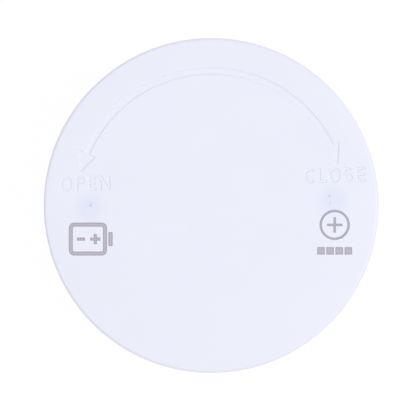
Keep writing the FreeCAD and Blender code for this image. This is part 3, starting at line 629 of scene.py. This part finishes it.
grey_ceramic = surface(
    "grey_ceramic", (0.17, 0.23, 0.27), (0.23, 0.29, 0.33), 0.35, 0.42, 0.08, 0.03, 0.005)
black_glaze = surface(
    "black_glaze", (0.02, 0.02, 0.021), (0.042, 0.042, 0.045), 0.4, 0.2, 0.06, 0.06, 0.003, coat=0.6)
covered_copper = surface(
    "covered_copper", (0.04, 0.26, 0.11), (0.06, 0.34, 0.15), 3, 0.22, 0.05, 0.2, 0.002, coat=0.5)
for node, material, slot, edge in (
        ("radio_chip_joints", tin, "solder_tin", 0.03), ("chip_end_caps", tin, "solder_tin", 0.05),
        ("radio_crystal", crystal_tray, "crystal_ceramic", 0.06),
        ("clock_crystal", crystal_tray, "crystal_ceramic", 0.06),
        ("crystal_lids", plated_lid, "crystal_lid", 0.08),
        ("bypass_capacitors", tan_ceramic, "capacitor_ceramic", 0.04),
        ("reservoir_capacitor", tan_ceramic, "capacitor_ceramic", 0.08),
        ("matching_inductors", grey_ceramic, "inductor_ceramic", 0.04),
        ("chip_resistors", black_glaze, "resistor_glaze", 0.04),
        ("test_pads", gold, "pad_gold", 0.015),
        ("antenna_trace", covered_copper, "antenna_copper", 0.015)):
    dressed(node, material, edge)
light_body = surface("light_body", (0.8, 0.8, 0.76), (0.88, 0.88, 0.85), 0.8, 0.3, 0.05, 0.05, 0.003)
light_lens = surface(
    "light_lens", (0.84, 0.8, 0.52), (0.92, 0.89, 0.66), 0.4, 0.1, 0.03, 0.1, 0.001, coat=0.8)
finished(light_body, "led_base")
finished(light_lens, "led_lens")
finished(tin, "led_ends", "solder_joints")

# Push switch: a black base with a bright frame folded over it, four flat legs, and the plunger
# that rides on the snap dome and moves on its own.
switch_at = (-18.025 * mm, 0.8 * mm)
plunger_low, plunger_top = (corner.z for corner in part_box("switch_plunger"))
plunger_r = 1.2 * mm
flange_r = 1.6 * mm
flange_low = 6.675 * mm
flange_high = 6.875 * mm
dome_r = 1.75 * mm
dome_z = 6.1 * mm
dome_rise = 0.3 * mm
dome_t = 0.1 * mm
dome_bend = (dome_r ** 2 + dome_rise ** 2) / (2 * dome_rise)
dome_half = np.degrees(np.arcsin(dome_r / dome_bend))
switch_black = surface(
    "switch_black", (0.035, 0.035, 0.038), (0.05, 0.05, 0.054), 1.5, 0.42, 0.06, 0.05, 0.005)
plunger_black = surface(
    "plunger_black", (0.04, 0.04, 0.043), (0.06, 0.06, 0.066), 0.8, 0.36, 0.06, 0.06, 0.004)
spring_steel = surface(
    "spring_steel", (0.56, 0.56, 0.56), (0.66, 0.66, 0.66), 1.5, 0.28, 0.06, 0.08, 0.004,
    metal=1.0, stretch=(14, 1, 1))
plunger_profile = softened(
    [(0, plunger_low), (plunger_r / 2, plunger_low), (plunger_r / 2, flange_low),
     (flange_r, flange_low), (flange_r, flange_high), (plunger_r, flange_high),
     (plunger_r, plunger_top), (0, plunger_top)],
    np.array([0, 0.03, 0.03, 0.05, 0.05, 0.03, 0.14, 0]) * mm)
assembled("switch_plunger_moulding", [shifted(spun(plunger_profile, 48), switch_at)],
          plunger_black, "button", ["switch_plunger"])
dressed("switch_base", switch_black, 0.08)
dressed("switch_frame", spring_steel, 0.04)
dressed("switch_terminals", tin, 0.03)
dome_skin = [arc((0, dome_z + dome_rise - dome_bend), dome_bend + more, 90 - dome_half, 90, 10)
             for more in (0, dome_t)]
dome = assembled("switch_dome_sheet",
                 [shifted(spun(np.concatenate([dome_skin[0], dome_skin[1][::-1]]), 48), switch_at)],
                 spring_steel, "housing", ["switch_dome"])
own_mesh(dome)

# Battery holder: a black tray with a round wall, open beside the clip and cut low for a fingernail,
# and two latches whose lips hold the cell. The two nickel contacts are bent from spring sheet.
holder_low = board_high.z
holder_r = 13.65 * mm
holder_in_r = 12.45 * mm
holder_floor_r = 12.65 * mm
ledge_in_r = 11.35 * mm
holder_floor_z = holder_low + 0.6 * mm
ledge_z = 7.35 * mm
wall_z = 11.5 * mm
slot_z = 8.35 * mm
nail_z = 9.75 * mm
nail_half = 15.56
clip_half = 13.75
slot_half = 12.5
latch_half = 9.0
latch_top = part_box("battery_holder")[1].z
latch_lip_z = latch_top - 0.47 * mm
latch_lip_r = 11.75 * mm
latch_lead = 0.3 * mm
step = 0.35


def holder_wall():
    """One wall from the clip's opening round to its other side. Its height changes at the slots and
    at the notch, each time within a small angle, so that the corners stay crisp."""
    stops = [(-90 + clip_half, wall_z)]
    for middle, half, low in ((0, slot_half, slot_z), (90, nail_half, nail_z), (180, slot_half, slot_z)):
        stops += [(middle - half, wall_z), (middle - half + step, low),
                  (middle + half - step, low), (middle + half, wall_z)]
    stops.append((270 - clip_half, wall_z))
    at, heights = np.array(stops).T
    angles = np.unique(np.concatenate([at, np.arange(at[0], at[-1], 2.0)]))
    rows = [softened([(ledge_in_r, holder_low), (holder_r, holder_low), (holder_r, top),
                      (holder_in_r, top), (holder_in_r, ledge_z), (ledge_in_r, ledge_z)],
                     [0, small_edge, 0.2 * mm, 0.2 * mm, small_edge, small_edge])
            for top in np.interp(angles, at, heights)]
    return swept(rows, angles)


holder_floor = softened([(0, holder_low), (holder_floor_r, holder_low),
                         (holder_floor_r, holder_floor_z), (0, holder_floor_z)],
                        [0, small_edge, small_edge, 0])
latch = softened(
    [(holder_in_r, ledge_z), (holder_r, ledge_z), (holder_r, latch_top - latch_lead),
     (holder_r - latch_lead, latch_top), (holder_in_r - 0.2 * mm, latch_top),
     (latch_lip_r, latch_top - latch_lead), (latch_lip_r, latch_lip_z), (holder_in_r, latch_lip_z)],
    [0, 0, small_edge, small_edge, 0.08 * mm, 0.06 * mm, 0.06 * mm, 0.06 * mm])
holder_lumps = [spun(holder_floor, 96), holder_wall(), swept_evenly(latch, -latch_half, latch_half),
                swept_evenly(latch, 180 - latch_half, 180 + latch_half)]
holder_black = surface(
    "holder_black", (0.022, 0.022, 0.024), (0.034, 0.034, 0.037), 5, 0.4, 0.06, 0.09, 0.008)
assembled("battery_holder_moulding", [shifted(lump, (0, cell_y)) for lump in holder_lumps],
          holder_black, "housing", ["battery_holder"])
nickel_sheet = surface(
    "nickel_sheet", (0.6, 0.58, 0.53), (0.7, 0.68, 0.62), 2, 0.25, 0.06, 0.1, 0.004, metal=1.0,
    stretch=(16, 1, 1))
dressed("positive_contact", nickel_sheet, 0.06)
dressed("negative_contact", nickel_sheet, 0.04)

# Board screws: two steel pan heads under bright zinc, each with a tapered cross recess. They go
# through the board into the bosses of the shell and hold it down.
head_r = 1.9 * mm
head_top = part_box("board_screws")[1].z
head_crown = 0.45 * mm
shank_r = 0.98 * mm
shank_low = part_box("board_screws")[0].z
shank_end_r = 0.6 * mm
shank_end_taper = 0.4 * mm
cross_span = 2.2 * mm
cross_line = 0.45 * mm
cross_taper = 0.09 * mm
cross_depth = 0.7 * mm
cross_turn = 17
screw_profile = np.concatenate([
    [(shank_end_r, shank_low), (shank_r, shank_low + shank_end_taper), (shank_r, board_high.z),
     (head_r - small_edge, board_high.z), (head_r, board_high.z + small_edge)],
    arc((head_r - head_crown, head_top - head_crown), head_crown, 0, 90, 8)])
cross = plus(cross_span, cross_line)
screw_face = sunk_face(circle((0, 0), head_r - head_crown, 48),
                       [(cross, inset(cross, cross_taper), cross_depth)], head_top)
screw_body = capped(turned(screw_profile, 48), screw_face)
zinc = surface(
    "bright_zinc", (0.52, 0.53, 0.56), (0.64, 0.64, 0.65), 1.2, 0.28, 0.07, 0.07, 0.006, metal=1.0)
assembled("board_screws_turned",
          [shifted(screw_body, polar(screw_at_r, degrees), degrees + cross_turn)
           for degrees in screw_angles], zinc, "housing", ["board_screws"])

# Coin cell: a drawn can of nickel-plated steel, its flat end up, with a stamped plus and the rings
# that spinning leaves. Its rim is crimped in below, around the gasket and the cap. They and the
# lithium, fleece and pellet inside keep their own shapes.
cell_r = 12.25 * mm
cell_low, cell_high = (corner.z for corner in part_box("cell_can"))
can_round = 0.7 * mm
crimp_round = 0.6 * mm
lip_r = cell_r - 1.3 * mm
lip_height = 0.25 * mm
stamp_at = (0, 6.3 * mm)
stamp_span = 3.0 * mm
stamp_line = 0.55 * mm
stamp_depth = 0.06 * mm
spin_ring = 0.16 * mm


def spun_steel():
    """Bright nickel plate with fine rings about the middle of the cell, by a wave over the radius."""
    made = surface(
        "cell_nickel", (0.59, 0.59, 0.58), (0.63, 0.63, 0.62), 6, 0.24, 0.03, 0.12, 0.002, metal=1.0)
    place = added(made, "TexCoord", {}).outputs["Object"]
    centred = added(made, "Mapping", {"Vector": place, "Location": (0, -cell_y, 0)})
    sockets = {"Vector": centred.outputs["Vector"], "Scale": np.pi / 10 / spin_ring, "Distortion": 1.5}
    rings = added(made, "TexWave", sockets, wave_type="RINGS", rings_direction="Z")
    second_bump(made, rings.outputs["Fac"], 0.003)
    return made


can_profile = np.concatenate([
    [(lip_r, cell_low + lip_height), (lip_r, cell_low)],
    arc((cell_r - crimp_round, cell_low + crimp_round), crimp_round, -90, 0, 8),
    arc((cell_r - can_round, cell_high - can_round), can_round, 0, 90, 10)])
stamp = plus(stamp_span, stamp_line) + stamp_at
can_face = sunk_face(circle((0, 0), cell_r - can_round, 128),
                     [(stamp, inset(stamp, stamp_depth), stamp_depth)], cell_high)
assembled("cell_can_drawn", [shifted(capped(turned(can_profile, 128), can_face), (0, cell_y))],
          spun_steel(), "housing", ["cell_can"], 25)
# Each row has a node, and then the values of its surface() in their order.
for node, *look in (
        ("cell_cap", "cap_nickel", (0.56, 0.56, 0.555), (0.64, 0.64, 0.63), 4,
         0.25, 0.05, 0.1, 0.003, 1.0),
        ("cell_gasket", "gasket_dark", (0.045, 0.045, 0.055), (0.06, 0.06, 0.07), 2,
         0.45, 0.05, 0.08, 0.004),
        ("cell_anode", "dull_lithium", (0.55, 0.55, 0.53), (0.66, 0.66, 0.64), 1.5,
         0.5, 0.08, 0.1, 0.01, 1.0),
        ("cell_separator", "white_fleece", (0.74, 0.73, 0.68), (0.84, 0.83, 0.78), 0.8,
         0.85, 0.05, 0.05, 0.02, 0.0, 0.0, (1, 6, 1)),
        ("cell_cathode", "black_pellet", (0.022, 0.022, 0.022), (0.04, 0.04, 0.04), 0.6,
         0.75, 0.08, 0.06, 0.02)):
    finished(surface(*look), node)

# Seal ring: a moulded ring of grey silicone cord. It lies in the groove of the cover's skirt, where
# the shell squeezes it a little flat.
cord_r = 0.45 * mm
cord_half = 0.075 * mm
cord_at_r = inner_r - 0.5 * mm
cord_z = rim_z - 1.3 * mm
cord_profile = np.concatenate([arc((cord_at_r, cord_z + cord_half), cord_r, 0, 180, 12),
                               arc((cord_at_r, cord_z - cord_half), cord_r, 180, 360, 12)])
silicone = surface(
    "grey_silicone", (0.29, 0.31, 0.34), (0.36, 0.38, 0.41), 2.5, 0.42, 0.07, 0.12, 0.006)
assembled("seal_ring_cord", [spun(cord_profile)], silicone, "seal", ["seal_ring"])

# Back cover: the flat disc that the photograph shows, in the same white ABS. Its skirt carries the
# seal in a groove, two hooks stand inside it, and a low rib keeps the cell down. The arc arrow and
# the two words are sunk into its face, and small ejector pits lie over the hooks.
back_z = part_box("back_cover")[1].z
ink_t = 0.01 * mm
face_z = back_z - ink_t
cover_edge = 0.5 * mm
skirt_r = inner_r - 0.15 * mm
skirt_in_r = skirt_r - 1.9 * mm
skirt_z = rim_z - 2.6 * mm
skirt_lead = 0.3 * mm
groove_low = skirt_z + 0.65 * mm
groove_high = groove_low + 1.3 * mm
groove_r = inner_r - 1.0 * mm
hold_rib_in = 6.5 * mm
hold_rib_out = 7.7 * mm
hold_rib_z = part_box("cell_can")[1].z + 0.1 * mm
hook_in_r = 16.9 * mm
hook_post_r = 18.7 * mm
hook_foot_r = 20.6 * mm
hook_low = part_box("back_cover")[0].z
hook_foot_top = hook_low + 1.5 * mm
hook_toe = 0.5 * mm
hook_half = 7.08
hook_root_z = rim_z + 0.8 * mm
gusset_in = 1.2 * mm
gusset_height = 2.4 * mm
gusset_half = 2.2
bump_at_r = 19.8 * mm
bump_ball_r = 1.0 * mm
bump_height = 0.15 * mm
bump_root = 1.3
relief_depth = 0.14 * mm
arrow_wall = 0.22 * mm
letter_wall = 0.13 * mm
arrow_r = 20.05 * mm
arrow_widest = 1.2 * mm
arrow_narrowest = 0.95 * mm
arrow_barb = 1.55 * mm
arrow_tips = ((16.1, 19.92 * mm), (164.4, 20.10 * mm))
arrow_head = 9.0
letter_h = 2.22 * mm
letter_t = 0.43 * mm
open_at = (-18.71 * mm, 3.84 * mm)
close_at = (18.55 * mm, 4.03 * mm)
gate_ring = (-17.61 * mm, 0.61 * mm, 0.43 * mm)
gate_step = 0.06 * mm
gate_depth = 0.05 * mm
pits = np.array([(-18.02, 0.66, 0.27, 0.21), (17.62, 0.96, 0.24, 0.16), (17.64, -0.14, 0.25, 0.11)]) * mm
pit_floor_share = 0.5
pit_floor_aside = 0.35
nib_angles = (144.0, 257.0)
nib_reach = 0.22 * mm
nib_half_turn = 0.35
nib_half_height = 0.2 * mm
nib_z = rim_z + 0.5 * mm
# Painted shade over each hook, bluish, for the shading of its sink mark: its middle, its fade and its
# strength.
sink_shade_at = (18.2 * mm, 0.15 * mm, 0)
sink_shade_inner = 0.8 * mm
sink_shade_outer = 3.1 * mm
sink_shade_share = 0.58
# Painted warm shade on the sloped edge and on the walls of the arrow: how steep a slope takes it, and
# where.
sloped = 0.90
level = 0.995
warm_shade_above = 5.25 * mm
warm_shade_past_r = 23.8 * mm


def letter_o(w, h, t, cut):
    """The outlines of a letter of that width, height and stroke, cut back on all sides. These are
    superellipses, |x/a|^n + |y/b|^n = 1 with n a little over 2."""
    turn = 2 * np.pi * np.arange(40) / 40
    c, s = np.cos(turn), np.sin(turn)
    power = 2 / 2.3
    rim = np.stack([np.sign(c) * np.abs(c) ** power, np.sign(s) * np.abs(s) ** power], 1)
    middle = np.array([w, h]) / 2
    return [middle + rim * (middle - cut), middle + rim * (middle - t + cut)]


def letter_p(w, h, t, cut):
    """A stem, and a half circle for the bowl, from the foot's height to the top."""
    foot = 0.44 * h
    bowl = (h - foot) / 2
    middle = (w - bowl, foot + bowl)
    outer = np.concatenate([[(0, 0), (t, 0), (t, foot)], arc(middle, bowl, -90, 90, 12), [(0, h)]])
    inner = np.concatenate([[(t, foot + t)], arc(middle, bowl - t, -90, 90, 8), [(t, h - t)]])
    return [inset(outer, cut), inset(inner, -cut)]


def letter_e(w, h, t, cut):
    """A stem with three arms, the middle one a little shorter."""
    low, high = (h - t) / 2, (h + t) / 2
    return [inset(np.array([(0, 0), (w, 0), (w, t), (t, t), (t, low), (0.92 * w, low),
                            (0.92 * w, high), (t, high), (t, h - t), (w, h - t), (w, h), (0, h)]),
                  cut)]


def letter_n(w, h, t, cut):
    """Two stems and a slanting stroke between their opposite ends."""
    slant = 1.85 * t
    return [inset(np.array([(0, 0), (t, 0), (t, h - slant), (w - t, 0), (w, 0), (w, h), (w - t, h),
                            (w - t, slant), (t, h), (0, h)]), cut)]


def letter_l(w, h, t, cut):
    """A stem and a foot."""
    return [inset(np.array([(0, 0), (w, 0), (w, t), (t, t), (t, h), (0, h)]), cut)]


def letter_c(w, h, t, cut):
    """A stroke along an ellipse, (a cos v, b sin v), open to the right."""
    across, rise = (w - t) / 2, (h - t) / 2
    end = 42 + np.degrees(cut / rise)
    v = np.radians(np.linspace(end, 360 - end, 25))
    path = np.stack([w / 2 + across * np.cos(v), h / 2 + rise * np.sin(v)], 1)
    return [band(path[::-1], t - 2 * cut)]


def letter_s(w, h, t, cut):
    """Two arcs that meet in the middle: the upper one turns left, the lower one turns right."""
    across, rise = (w - t) / 2, (h - t) / 4
    end = 28 + np.degrees(cut / rise)
    up = np.radians(np.linspace(end, 270, 16))
    down = np.radians(np.linspace(90, end - 180, 16))[1:]
    path = np.concatenate([
        np.stack([w / 2 + across * np.cos(up), h / 2 + rise + rise * np.sin(up)], 1),
        np.stack([w / 2 + across * np.cos(down), h / 2 - rise + rise * np.sin(down)], 1)])
    return [band(path, t - 2 * cut)]


def word(letters, middle):
    """The sunk outlines of a word, centred on a point of the face. Each letter has its shape, and its
    place along the word and its width in mm."""
    width = (letters[-1][1] + letters[-1][2]) * mm
    sunk = []
    for shape, at, w in letters:
        corner = [middle[0] - width / 2 + at * mm, middle[1] - letter_h / 2]
        outlines, floors = (shape(w * mm, letter_h, letter_t, cut) for cut in (0, letter_wall))
        for outline, floor in zip(outlines, floors):
            sunk.append((outline + corner, floor + corner, relief_depth))
    return sunk


def arc_arrow():
    """The outline of the double-headed arrow that lies on an arc over the top of the face. The arc's
    width falls evenly with the angle from the top, from its widest to its narrowest at the heads."""
    (right_tip, right_r), (left_tip, left_r) = arrow_tips
    right, left = right_tip + arrow_head, left_tip - arrow_head
    t = np.linspace(right, left, 97)
    half = np.interp(np.abs(t - 90), (0, left - 90), (arrow_widest / 2, arrow_narrowest / 2))
    return np.concatenate([
        np.stack(polar(arrow_r + half, t), 1),
        [polar(left_r + arrow_barb, left), polar(left_r, left_tip), polar(left_r - arrow_barb, left)],
        np.stack(polar(arrow_r - half, t), 1)[::-1],
        [polar(right_r - arrow_barb, right), polar(right_r, right_tip),
         polar(right_r + arrow_barb, right)]])


def round_both(first, first_r, second, second_r):
    """The outline around two circles that cross: of each, the arc outside the other. The arcs meet
    where cos a = (d^2 + r^2 - s^2) / (2 d r), for their distance d and their radii r and s."""
    x, y = np.array(second) - first
    d, bearing = np.hypot(x, y), np.degrees(np.arctan2(y, x))
    a, b = (np.degrees(np.arccos((d ** 2 + r ** 2 - s ** 2) / (2 * d * r)))
            for r, s in ((first_r, second_r), (second_r, first_r)))
    return np.concatenate([arc(first, first_r, bearing + a, bearing + 360 - a, 32)[:-1],
                           arc(second, second_r, bearing - 180 + b, bearing + 180 - b, 32)[:-1]])


def hook(base):
    """A hook: the post, the foot that faces outwards, the rib behind it and the bump that clicks."""
    section = softened(
        [(hook_in_r, hook_low), (hook_foot_r - hook_toe, hook_low), (hook_foot_r, hook_low + hook_toe),
         (hook_foot_r, hook_foot_top), (hook_post_r, hook_foot_top), (hook_post_r, hook_root_z),
         (hook_in_r, hook_root_z)], [small_edge] * 5 + [0, 0])
    behind = softened([(hook_in_r - gusset_in, hook_root_z), (hook_in_r - gusset_in, rim_z),
                       (hook_in_r, rim_z - gusset_height), (hook_post_r - side_wall / 2, hook_root_z)],
                      [0, 0.2 * mm, 0.2 * mm, 0])
    cap = np.degrees(np.arccos(1 - bump_height / bump_ball_r)) * bump_root
    dome = arc((0, bump_height - bump_ball_r), bump_ball_r, 90 - cap, 90, 8)
    dome = np.concatenate([[(0, dome[0][1])], dome])
    return [swept_evenly(section, base - hook_half, base + hook_half),
            swept_evenly(behind, base - gusset_half, base + gusset_half),
            shifted(spun(dome, 32), (*polar(bump_at_r, base), hook_foot_top))]


def cover_abs_painted_shade():
    """The white ABS with a painted shade, faint and bluish, over each hook, which stands in for the
    shading of the sink mark where the thick plastic has sunk. It fades out with the distance from
    (|x|, y) to the middle of the mark. Where the surface slopes, at the edge and on the walls of the
    arrow, a touch warmer tint is painted in as shade. The words lie in between, and keep their white."""
    made = white_abs.copy()
    made.name = "cover_abs_painted_shade"
    place = added(made, "TexCoord", {}).outputs
    parts = added(made, "SeparateXYZ", {0: place["Object"]}).outputs
    folded = added(made, "CombineXYZ", {"X": figured(made, "ABSOLUTE", parts["X"]), "Y": parts["Y"]})
    folded = folded.outputs["Vector"]
    away = added(made, "VectorMath", {0: folded, 1: sink_shade_at}, operation="DISTANCE").outputs["Value"]
    fade = ranged(made, away, sink_shade_inner, sink_shade_outer, sink_shade_share, 0.0,
                  interpolation_type="SMOOTHSTEP")
    # Painted shade: this bluish colour stands in for the shading of the sink mark over each hook.
    shade = mixed(made, fade, made.node_tree.nodes["tint"].outputs[2], (0.735, 0.755, 0.915, 1))
    facing = added(made, "SeparateXYZ", {0: place["Normal"]}).outputs["Z"]
    slope = ranged(made, facing, level, sloped)
    from_axis = added(made, "VectorMath", {0: folded}, operation="LENGTH").outputs["Value"]
    at_edge = figured(made, "GREATER_THAN", from_axis, warm_shade_past_r)
    at_arrow = figured(made, "GREATER_THAN", parts["Y"], warm_shade_above)
    # Painted shade: a warmer colour on the sloping edge and arrow walls, where they turn from the light.
    warm_painted_shade = figured(made, "MULTIPLY", figured(made, "MAXIMUM", at_edge, at_arrow), slope)
    shaded(made, "Base Color", mixed(made, warm_painted_shade, shade, (0.832, 0.815, 0.932, 1)))
    return made


cover_rim = circle((0, 0), body_r - cover_edge, shell_columns)
arrow = arc_arrow()
sunk = [(arrow, inset(arrow, arrow_wall), relief_depth)]
sunk += word([(letter_o, 0, 1.82), (letter_p, 2.32, 1.45), (letter_e, 4.15, 1.30),
              (letter_n, 5.80, 1.75)], open_at)
sunk += word([(letter_c, 0, 1.80), (letter_l, 2.13, 1.35), (letter_o, 3.68, 1.78),
              (letter_s, 5.82, 1.48), (letter_e, 7.74, 1.50)], close_at)
gate_rim, gate_floor = (
    round_both(gate_ring[:2], gate_ring[2] - cut, pits[0][:2], pits[0][2] + 1.5 * gate_step - cut)
    for cut in (0, gate_step))
sunk.append((gate_rim, gate_floor, gate_depth))
for x, y, radius, depth in pits:
    pit_floor = circle((x - pit_floor_aside * radius, y), pit_floor_share * radius, 24)
    sunk.append((circle((x, y), radius, 24), pit_floor, depth))
cover_profile = np.concatenate([
    softened([(0, rim_z), (hold_rib_in, rim_z), (hold_rib_in, hold_rib_z), (hold_rib_out, hold_rib_z),
              (hold_rib_out, rim_z), (skirt_in_r, rim_z), (skirt_in_r, skirt_z),
              (skirt_r - skirt_lead, skirt_z), (skirt_r, skirt_z + skirt_lead),
              (skirt_r, groove_low), (groove_r, groove_low), (groove_r, groove_high),
              (skirt_r, groove_high), (skirt_r, rim_z), (body_r - rim_chamfer, rim_z),
              (body_r, rim_z + rim_chamfer), (body_r, face_z - cover_edge), (0, face_z - cover_edge)],
             np.array([0, 1.5, 1, 1, 1.5, 3, 1, 1, 1, 0.5, 0.5, 0.5, 0.5, 1, 1, 1, 0, 0])
             * small_edge)[:-2],
    arc((body_r - cover_edge, face_z - cover_edge), cover_edge, 0, 90, 8)])
t = 2 * np.pi * np.arange(shell_columns) / shell_columns
nibs = sum(np.exp(-((np.degrees(t) - at) / nib_half_turn) ** 2) for at in nib_angles)[:, None]
cover_rows = turned(cover_profile, shell_columns)
at_seam = np.exp(-((cover_rows[..., 2:] - nib_z) / nib_half_height) ** 2)
at_seam[np.hypot(cover_rows[..., 0], cover_rows[..., 1]) < body_r - cover_edge] = 0
outward = np.stack([np.cos(t), np.sin(t), 0 * t], -1)
cover_rows = cover_rows + nib_reach * nibs * at_seam * outward
cover_lumps = [capped(cover_rows, sunk_face(cover_rim, sunk, face_z))]
for base in (0, 180):
    cover_lumps += hook(base)
assembled("back_cover_moulding", cover_lumps, cover_abs_painted_shade(), "cover", ["back_cover"], 20)

# Printed signs: thin grey ink on the cover, a little denser along its edges. A cell with its two
# poles is on the left, and a plus in a thin circle over four blocks of charge is on the right. Their
# plans are in mm.
ink_low = face_z - 0.02 * mm
ink_edge = 0.13 * mm
sign_turn = -1.6
cell_sign_at = (-18.1 * mm, -4.5 * mm)
plus_sign_at = (18.3 * mm, -4.55 * mm)
cell_sign = [
    [rectangle(5.7, 4.9, 0.75) + (-0.42, 0), rectangle(4.52, 3.72, 0.25) + (-0.42, 0)],
    [rectangle(0.62, 2.1, 0.15) + (2.95, 0)], [plus(1.5, 0.45) + (0.68, 0)],
    [rectangle(1.2, 0.45) + (-1.45, 0)]]
plus_sign = [[circle((0, 1.15), 2.25, 56), circle((0, 1.15), 1.91, 56)], [plus(2.3, 0.36) + (0, 1.15)]]
plus_sign += [[rectangle(1.12, 1.1) + (x, -2.72)] for x in (-2.04, -0.68, 0.68, 2.04)]
ink_dense = surface(
    "sign_ink_edge", (0.34, 0.325, 0.38), (0.39, 0.375, 0.44), 0.9, 0.55, 0.05, 0.05, 0.003)
ink_grey = surface("sign_ink", (0.45, 0.43, 0.5), (0.52, 0.495, 0.575), 0.5, 0.55, 0.05, 0.05, 0.003)
cores, edges = [], []
for sign, at in ((cell_sign, cell_sign_at), (plus_sign, plus_sign_at)):
    for plan in sign:
        rings = [ring * mm for ring in plan]
        inner = [inset(ring, -ink_edge if k else ink_edge) for k, ring in enumerate(rings)]
        cores.append(shifted(pierced(inner, ink_low, back_z), at, sign_turn))
        edges.append(shifted(pierced(rings + inner, ink_low, back_z), at, sign_turn))
assembled("printed_signs", cores, ink_grey, "cover")
assembled("printed_sign_edges", edges, ink_dense, "cover")

# Studio: a wide pale floor, a soft light from the right, a weaker one from the left, and a plain
# bright room all round. The floor and the room look white where they are seen.
face_wide = 62.05 * mm
camera_up = 500 * mm
camera_roll = -1.6
off_centre = (3.19, -2.47)
photo_side = 416
sensor = 36.0
floor_side = 6.0
floor_gap = 0.02 * mm


def seen_share(made):
    """1 for rays that show the floor or the room as such: from the camera, or by way of a glossy
    or clear surface. 0 for the rays that light the object."""
    rays = added(made, "LightPath", {}).outputs
    seen = figured(made, "MAXIMUM", rays["Is Camera Ray"], rays["Is Glossy Ray"])
    return figured(made, "MAXIMUM", seen, rays["Is Transmission Ray"])


def shown_white(made, share, lit, white, end):
    """Mixes what lights the object with what the seen rays show, and leads it to the output."""
    both = added(made, "MixShader", {"Fac": share, 1: lit.outputs[0], 2: white.outputs[0]})
    made.node_tree.links.new(both.outputs[0], made.node_tree.nodes[end].inputs["Surface"])


def pale_floor():
    """A matt pale grey that looks nearly white, with the shadow of the object still on it."""
    made = bpy.data.materials.new("pale_floor")
    made.use_nodes = True
    made.node_tree.nodes.remove(made.node_tree.nodes["Principled BSDF"])
    matt = added(made, "BsdfDiffuse", {"Color": (0.86, 0.86, 0.87, 1)})
    white = added(made, "Emission", {"Color": (1, 1, 1, 1), "Strength": 1.03})
    share = figured(made, "MULTIPLY", seen_share(made), 0.92)
    shown_white(made, share, matt, white, "Material Output")
    return made


floor_mesh = bpy.data.meshes.new("floor")
floor_corners = [(x, y, 0) for x, y in rectangle(floor_side, floor_side)]
floor_mesh.from_pydata(floor_corners, [], [(0, 1, 2, 3)])
floor_mesh.materials.append(pale_floor())
floor = in_scene("floor", floor_mesh)
floor.location.z = -floor_gap


def soft_light(name, at, size, watts, colour):
    """A round lamp of that size, turned to the origin."""
    lamp = bpy.data.lights.new(name, "AREA")
    lamp.shape = "DISK"
    lamp.size = size
    lamp.energy = watts
    lamp.color = colour
    made = in_scene(name, lamp)
    made.location = at
    made.rotation_euler = (-Vector(at)).to_track_quat("-Z", "Y").to_euler()


soft_light("light_right", (1.48, -0.22, 2.20), size=1.20, watts=24.4, colour=(1.0, 0.99, 0.98))
soft_light("light_left", (-1.70, 0.0, 2.40), size=1.80, watts=4.0, colour=(0.98, 0.99, 1.0))

room = bpy.data.worlds.new("room")
room.use_nodes = True
bpy.context.scene.world = room
room_light = room.node_tree.nodes["Background"]
room_light.inputs["Color"].default_value = (0.97, 0.98, 1.0, 1)
room_light.inputs["Strength"].default_value = 0.708
room_white = added(room, "Background", {"Color": (1, 1, 1, 1), "Strength": 1.0})
shown_white(room, seen_share(room), room_light, room_white, "World Output")

camera = in_scene("camera", bpy.data.cameras.new("camera"))
right, up = turning(camera_roll)
aside = -(off_centre[0] * right - off_centre[1] * up) * face_wide / photo_side
camera.location = (*aside, back_z + camera_up)
camera.rotation_euler = (0, 0, np.radians(camera_roll))
camera.data.sensor_width = sensor
camera.data.lens = sensor * camera_up / face_wide
bpy.context.scene.camera = camera
bpy.context.scene.view_settings.view_transform = "Standard"
